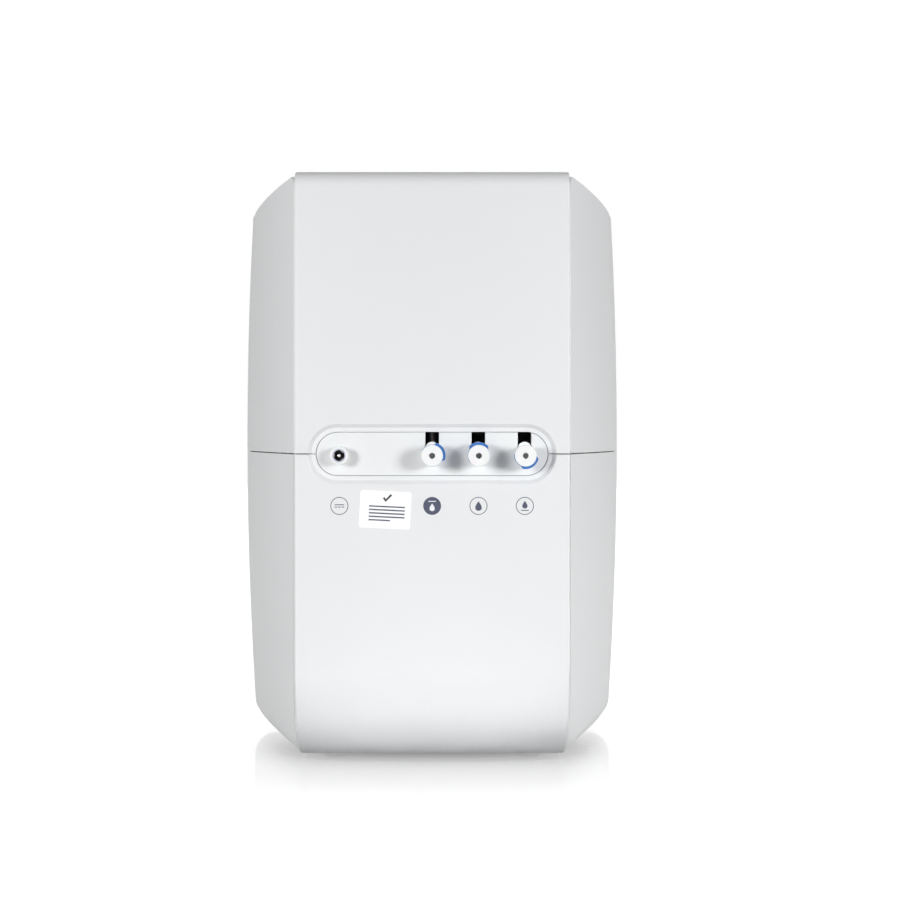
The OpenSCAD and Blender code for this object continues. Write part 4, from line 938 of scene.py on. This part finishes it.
class PURIFIER_OT_marks(bpy.types.Operator):
    """Prints the port marks and lays the label on the lower shell"""

    bl_idname = "purifier.marks"
    bl_label = "Marks and label"

    def execute(self, context):
        finishes = finish_set(context)
        marks = context.scene.purifier_marks
        rear = context.scene.purifier_casing.rear
        radius, line = marks.radius, marks.line
        inlet, pure, drain = (middle(port + "_plug").x for port in PORTS)
        power = middle("jack_pin").x
        film, stroke = marks.film, marks.stroke

        def at(x, lift=0.0):
            return (x, rear - lift, marks.height)

        drained = gather(drop(WATER_DROP, 0, 0.9 * MM), bar(WATER_LINE, stroke, 0, -3.1 * MM))
        ink = gather(
            raised(disc(radius), film, at(inlet)),
            *(raised(hoop(radius - line / 2, line), film, at(x)) for x in (power, pure, drain)),
            raised(rules(CURRENT_SIGN, stroke), film, at(power)),
            raised(drop(MARK_DROP), film, at(pure)),
            raised(drained, film, at(drain)),
        )
        piece("port_marks", ink, finishes["ink"], "casing")
        pale = gather(drop(WATER_DROP, 0, -0.9 * MM), bar(WATER_LINE, stroke, 0, 3.2 * MM))
        raised(pale, film, at(inlet, film))
        piece("inlet_mark", pale, finishes["pale_ink"], "casing")
        self.label(context, finishes, rear)
        return {"FINISHED"}

    def label(self, context, finishes, rear):
        marks = context.scene.purifier_marks
        place = Vector((marks.label_x, rear, marks.label_z))
        tilt, paper = marks.label_tilt, marks.label_paper
        sheet = bar(marks.label_width, marks.label_height)
        round_corners(sheet, sheet.verts[:], marks.label_corner, 6)
        raised(sheet, paper, place, tilt)
        round_edges(sheet, sharp_edges(sheet, 60), LABEL_EDGE, 1)
        piece("label", sheet, finishes["paper"], "casing")
        place.y -= paper
        lines = raised(rules(LABEL_RULES, marks.label_rule), LABEL_INK, place, tilt)
        piece("label_lines", lines, finishes["ink"], "casing")
        passed = tick(TICK_SIZE)
        bmesh.ops.translate(passed, vec=TICK_PLACE, verts=passed.verts)
        raised(passed, LABEL_INK, place, tilt)
        piece("label_tick", passed, finishes["black"], "casing")


# Lit segments of each digit that the display shows, lettered clockwise from the top with the middle one last.
DIGITS = {"0": "abcdef", "1": "bc", "2": "abdeg"}
DIGIT_WIDTH, DIGIT_HEIGHT, DIGIT_LINE = 6.4 * MM, 11.5 * MM, 1.2 * MM
# Places across the window of the digits and of the drops that count the filters.
DIGIT_PLACES = {"0": -20 * MM, "1": -10.6 * MM, "2": -1.2 * MM}
FILTER_PLACES = (11 * MM, 18 * MM, 25 * MM)
SIGN_FILM = 0.04 * MM


def digit(number, x):
    """A seven segment digit in the XZ plane."""
    line = DIGIT_LINE
    half_x, half_z = (DIGIT_WIDTH - line) / 2, (DIGIT_HEIGHT - line) / 2
    along, up = DIGIT_WIDTH - 1.5 * line, half_z - 0.6 * line
    segments = {
        "a": (along, line, 0, half_z), "d": (along, line, 0, -half_z), "g": (along, line, 0, 0),
        "b": (line, up, half_x, half_z / 2), "c": (line, up, half_x, -half_z / 2),
        "e": (line, up, -half_x, -half_z / 2), "f": (line, up, -half_x, half_z / 2),
    }
    return gather(*(bar(w, h, x + sx, sz) for key, (w, h, sx, sz) in segments.items() if key in DIGITS[number]))


class PURIFIER_OT_display(bpy.types.Operator):
    """Lights the display's digits and drops and marks the two buttons"""

    bl_idname = "purifier.display"
    bl_label = "Display and button marks"

    def execute(self, context):
        finishes = finish_set(context)
        lens = middle("display_lens")
        front = high_corner("display_lens").y
        shown = [digit(number, x) for number, x in DIGIT_PLACES.items()]
        for x in FILTER_PLACES:
            shown += [drop(1.9 * MM, x, 1.2 * MM), bar(4.4 * MM, 0.7 * MM, x, -3.9 * MM)]
        lit = raised(gather(*shown), SIGN_FILM, (lens.x, front, lens.z), to_front=True)
        piece("display_digits", lit, finishes["segments"], "cover")
        for node, body, sign in (
            ("flush_button", "flush_key", drop(1.7 * MM)),
            ("reset_button", "reset_key", hoop(1.5 * MM, 0.5 * MM)),
        ):
            place = middle(node)
            place.y = high_corner(node).y
            mark = raised(gather(hoop(4.2 * MM, 0.45 * MM), sign), SIGN_FILM, place, to_front=True)
            piece(node + "_mark", mark, finishes["ink"], body)
        return {"FINISHED"}


# Radius and depth of the section of a pale lavender ring, in millimetres: painted shade for the shaded inner
# edge of the power inlet's white shell.
SHADE_RING_SECTION = ((3.85, 0.1), (3.85, -0.25), (4.0, -0.4), (4.3, -0.4), (4.45, -0.25), (4.45, 0.1), (3.85, 0.1))
# Corners and rounding of a spring contact, and the contacts' turns about the inlet in degrees.
CONTACT_LOW, CONTACT_HIGH = Vector((-1.0, 0.6, 3.2)) * MM, Vector((1.0, 9, 3.5)) * MM
CONTACT_EDGE, CONTACT_TURNS = 0.1 * MM, (35, 145, 270)


class PURIFIER_OT_inlet(bpy.types.Operator):
    """Adds the power inlet's lavender ring of painted shade and its spring contacts"""

    bl_idname = "purifier.inlet"
    bl_label = "Power inlet"

    def execute(self, context):
        finishes = finish_set(context)
        centre = middle("jack_insert")
        centre.y = low_corner("jack_insert").y
        # A pale lavender ring on the insert's front face: painted shade for the shaded inner edge of the white
        # shell.
        shade_ring = turned([(r * MM, along * MM) for r, along in SHADE_RING_SECTION], centre, (0, 1, 0), 64)
        piece("jack_painted_shade_ring", shade_ring, finishes["lavender"], "casing")
        places = (
            Matrix.Translation(centre) @ Matrix.Rotation(math.radians(degrees), 4, "Y")
            for degrees in CONTACT_TURNS
        )
        leaves = gather(*(rounded_block(CONTACT_LOW, CONTACT_HIGH, CONTACT_EDGE, place) for place in places))
        piece("jack_contacts", leaves, finishes["bright"], "casing")
        return {"FINISHED"}


class PURIFIER_OT_cartridges(bpy.types.Operator):
    """Adds the grip ribs and the printed wraps of the filter cartridges"""

    bl_idname = "purifier.cartridges"
    bl_label = "Cartridge grips and wraps"

    def execute(self, context):
        finishes = finish_set(context)
        for body in STAGES:
            low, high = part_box(body + "_housing")
            radius = (high.x - low.x) / 2
            base = Vector(((low.x + high.x) / 2, (low.y + high.y) / 2, low.z))
            ribs = [self.rib(base, radius, 2 * math.pi * i / RIB_COUNT) for i in range(RIB_COUNT)]
            ribs.append(self.ring(base, radius + RIB_RISE, RING_ENDS, 0.8))
            piece(body + "_grip", gather(*ribs), finishes["cartridge"], body)
            wrap = self.ring(base, radius + WRAP_FILM, WRAP_ENDS, 0.05)
            piece(body + "_wrap", wrap, finishes[body + "_wrap"], body)
        return {"FINISHED"}

    def rib(self, base, radius, turn):
        """One rib of the grip around a housing's foot."""
        start, end = (end * MM for end in RIB_ENDS)
        low, high = Vector((-RIB_HALF, radius - RIB_SINK, start)), Vector((RIB_HALF, radius + RIB_RISE, end))
        return rounded_block(low, high, RIB_EDGE, Matrix.Translation(base) @ Matrix.Rotation(turn, 4, "Z"))

    def ring(self, base, radius, ends, edge):
        """A closed ring around a housing, between two heights above its foot in millimetres."""
        inner = radius - 1 * MM
        start, end = ends
        profile = (
            (inner, start), (radius - edge * MM, start), (radius, start + edge), (radius, end - edge),
            (radius - edge * MM, end), (inner, end), (inner, start),
        )
        return turned([(r, z * MM) for r, z in profile], base, (0, 0, 1), 96)


# Finish, width of the rounded edges in millimetres, and body where it isn't the casing.
SOFTENED = {
    "port_panel": ("panel", 0.3),
    "port_fittings": ("acetal", 0.3),
    "collets": ("acetal", 0.25),
    **{port + "_clip": ("clip", 0.3, port + "_lock") for port in PORTS},
    **{port + "_plug": ("acetal", 0.5, port + "_stopper") for port in PORTS},
    "jack_shell": ("acetal", 0.5),
    "jack_insert": ("black", 0.2),
    "jack_pin": ("bright", 0.3),
    "rubber_feet": ("rubber", 0.6),
    "flush_button": ("acetal", 0.4, "flush_key"),
    "reset_button": ("acetal", 0.4, "reset_key"),
    "display_lens": ("window", 0.3, "cover"),
    "filter_manifold": ("manifold", 0.5),
    "inner_frame": ("frame", 0.4),
    **{stage + "_housing": ("cartridge", 0.5, stage) for stage in STAGES},
    "motor_can": ("steel", 0.8),
    "crank_housing": ("pump", 0.6),
    "pump_head": ("pump", 0.6),
    "pump_shelf": ("steel", 0.3),
    "valve_bodies": ("manifold", 0.4),
    "valve_coils": ("coil", 0.6),
    "flow_meter": ("manifold", 0.5),
    "board_parts": ("black", 0.3),
    "strike_plates": ("steel", 0.3),
    "cover_magnets": ("steel", 0.25, "cover"),
}

# Inner pieces that keep their solids' shapes, by finish.
CARRIED = {
    "rubber": ("port_seals", "pump_diaphragm", "pump_dampers", *(stage + "_seals" for stage in STAGES)),
    "steel": (
        "jack_nut", "manifold_screws", "frame_screws", "seam_screws", "pump_cradle",
        "inlet_plunger", "flush_plunger",
    ),
    "board": ("display_board", "control_board"),
    "black": ("display_parts", "motor_magnets"),
    "media": ("prefilter_element", "membrane_element"),
    "carbon": ("postfilter_element",),
    "copper": ("motor_rotor",),
    "brass": ("motor_bearings", "pump_eccentric"),
    "frame": ("pump_rocker",),
    "clip": ("meter_wheel",),
    "tube": ("tubes_and_leads",),
}


class PURIFIER_OT_softened(bpy.types.Operator):
    """Models the moulded and turned pieces with rounded edges"""

    bl_idname = "purifier.softened"
    bl_label = "Moulded pieces"

    def execute(self, context):
        finishes = finish_set(context)
        for node, (finish, width, *rider) in SOFTENED.items():
            body = rider[0] if rider else "casing"
            piece(node + "_form", softened(node, width * MM), finishes[finish], body, [node])
        return {"FINISHED"}


class PURIFIER_OT_carried(bpy.types.Operator):
    """Gives the carried inner pieces their finishes"""

    bl_idname = "purifier.carried"
    bl_label = "Inner pieces"

    def execute(self, context):
        finishes = finish_set(context)
        for finish, nodes in CARRIED.items():
            for node in nodes:
                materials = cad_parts[node].data.materials
                materials.clear()
                materials.append(finishes[finish])
        return {"FINISHED"}


SIDE_AIM = (0, -0.10, 0.22)
# Place, aim and size in metres, power in watts, spread in degrees and whether it shows as a sheen.
LAMPS = {
    "left_box": ((-0.72, -0.80, 0.39), SIDE_AIM, (0.28, 0.30), 6.2, 180, True),
    "right_box": ((0.75, -0.78, 0.39), SIDE_AIM, (0.28, 0.30), 6.6, 180, True),
    "low_card": ((0, -0.34, 0.012), (0, -0.10, 0.05), (0.18, 0.04), 0.145, 180, True),
    "strip": ((0, -0.42, 0.012), (0, -0.07, 0.004), (0.20, 0.012), 0.0235, 24, True),
    "low_side": ((0.78, -0.34, 0.10), (0.12, 0.02, 0.03), (0.12, 0.12), 0.055, 56, True),
    "front_box": ((0.28, 1.22, 1.0), (0, 0.10, 0.25), (0.5, 0.5), 17.0, 180, False),
}
# The floor's half width, how pale it is seen, and the half lengths and gloss of the pool under the object.
FLOOR_HALF, FLOOR_LIFT = 6, 0.97
POOL_HALF = (0.34, 0.23)
POOL_GLOSS, CONTACT_GLOSS = 0.38, 0.4
AMBIENT = 0.04
# The camera's sensor and lens in millimetres, its shift, its distance behind the rear face and its height.
SENSOR, LENS, SHIFT = 36, 64.22, (0.0204, -0.0184)
EYE_DISTANCE, EYE_HEIGHT = 1.123, 0.2384


class PURIFIER_OT_stage(bpy.types.Operator):
    """Sets the floor, the lights, the world and the camera"""

    bl_idname = "purifier.stage"
    bl_label = "Studio"

    def execute(self, context):
        scene = context.scene
        self.floor(scene)
        self.world(scene)
        for name, settings in LAMPS.items():
            self.light(scene, name, *settings)
        self.camera(scene)
        scene.view_settings.view_transform = "Standard"
        return {"FINISHED"}

    def floor(self, scene):
        bm = bmesh.new()
        bmesh.ops.create_grid(bm, x_segments=1, y_segments=1, size=FLOOR_HALF)
        mesh = bpy.data.meshes.new("floor")
        bm.to_mesh(mesh)
        bm.free()
        made = bpy.data.objects.new("floor", mesh)
        scene.collection.objects.link(made)
        finish = Finish("studio_floor")
        shade = scene.purifier_finishes.floor
        lift = rgba((1, 1, 1), FLOOR_LIFT)
        matt = finish.node("ShaderNodeBsdfPrincipled", None, {
            "Base Color": rgba(shade), "Roughness": 0.6, "Emission Strength": 1.0,
            "Emission Color": finish.mix(self.seen(finish), (0, 0, 0, 1), lift),
        })
        mirror = finish.node("ShaderNodeBsdfGlossy", None, {"Roughness": 0.05})
        where = finish.place()
        x, y = (
            finish.node("ShaderNodeSeparateXYZ", None, {"Vector": where}, axis).size() / half
            for axis, half in zip("XY", POOL_HALF)
        )
        near = (1 - x * x - y * y).most(0.0)
        under = (1 - x.power(4) * 3 - y * y).most(0.0)
        gloss = (near * POOL_GLOSS + under.power(24) * CONTACT_GLOSS) * self.seen(finish)
        shader = finish.node("ShaderNodeMixShader", None, {0: gloss, 1: matt, 2: mirror})
        finish.node("ShaderNodeOutputMaterial", None, {"Surface": shader})
        mesh.materials.append(finish.material)

    def world(self, scene):
        world = bpy.data.worlds.new("studio")
        scene.world = world
        world.use_nodes = True
        finish = Finish("studio", world.node_tree)
        strength = AMBIENT + self.seen(finish) * (1 - AMBIENT)
        sky = finish.node("ShaderNodeBackground", None, {"Color": (1, 1, 1, 1), "Strength": strength})
        finish.node("ShaderNodeOutputWorld", None, {"Surface": sky})

    def seen(self, finish):
        """One for rays that show the background, and nought for those that light the object."""
        rays = ("Is Camera Ray", "Is Glossy Ray", "Is Transmission Ray")
        camera, glossy, clear = (finish.node("ShaderNodeLightPath", output=ray) for ray in rays)
        return camera.most(glossy).most(clear)

    def light(self, scene, name, place, aim, size, power, degrees, sheen):
        data = bpy.data.lights.new(name, "AREA")
        data.shape = "RECTANGLE"
        data.size, data.size_y = size
        data.energy = power
        data.spread = math.radians(degrees)
        made = bpy.data.objects.new(name, data)
        scene.collection.objects.link(made)
        made.visible_camera = False
        made.visible_glossy = sheen
        made.location = place
        made.rotation_euler = (Vector(aim) - Vector(place)).to_track_quat("-Z", "Y").to_euler()

    def camera(self, scene):
        data = bpy.data.cameras.new("view")
        data.sensor_width = SENSOR
        data.lens = LENS
        data.shift_x, data.shift_y = SHIFT
        made = bpy.data.objects.new("view", data)
        scene.collection.objects.link(made)
        made.location = (0, scene.purifier_casing.rear - EYE_DISTANCE, EYE_HEIGHT)
        made.rotation_euler = (math.pi / 2, 0, 0)
        scene.camera = made


class PURIFIER_PT_panel(bpy.types.Panel):
    """Lists the purifier's sizes, finishes and operators"""

    bl_idname = "PURIFIER_PT_panel"
    bl_label = "Purifier"
    bl_space_type = "VIEW_3D"
    bl_region_type = "UI"
    bl_category = "Purifier"

    def draw(self, context):
        for group_name, kind in GROUPS.items():
            column = self.layout.column(align=True)
            for name in kind.__annotations__:
                column.prop(getattr(context.scene, group_name), name)
        for operator in OPERATORS:
            self.layout.operator(operator.bl_idname)


GROUPS = {"purifier_casing": CasingSizes, "purifier_marks": MarkSizes, "purifier_finishes": Finishes}
OPERATORS = (
    PURIFIER_OT_stage, PURIFIER_OT_shells, PURIFIER_OT_cover, PURIFIER_OT_marks, PURIFIER_OT_display,
    PURIFIER_OT_inlet, PURIFIER_OT_cartridges, PURIFIER_OT_softened, PURIFIER_OT_carried,
)
CLASSES = (*GROUPS.values(), *OPERATORS, PURIFIER_PT_panel)


def register():
    for made in CLASSES:
        bpy.utils.register_class(made)
    for name, group in GROUPS.items():
        setattr(bpy.types.Scene, name, PointerProperty(type=group))


def unregister():
    for name in GROUPS:
        delattr(bpy.types.Scene, name)
    for made in reversed(CLASSES):
        bpy.utils.unregister_class(made)


def main():
    register()
    bpy.ops.purifier.stage()
    bpy.ops.purifier.shells()
    bpy.ops.purifier.cover()
    bpy.ops.purifier.marks()
    bpy.ops.purifier.display()
    bpy.ops.purifier.inlet()
    bpy.ops.purifier.cartridges()
    bpy.ops.purifier.softened()
    bpy.ops.purifier.carried()


if __name__ == "__main__":
    main()
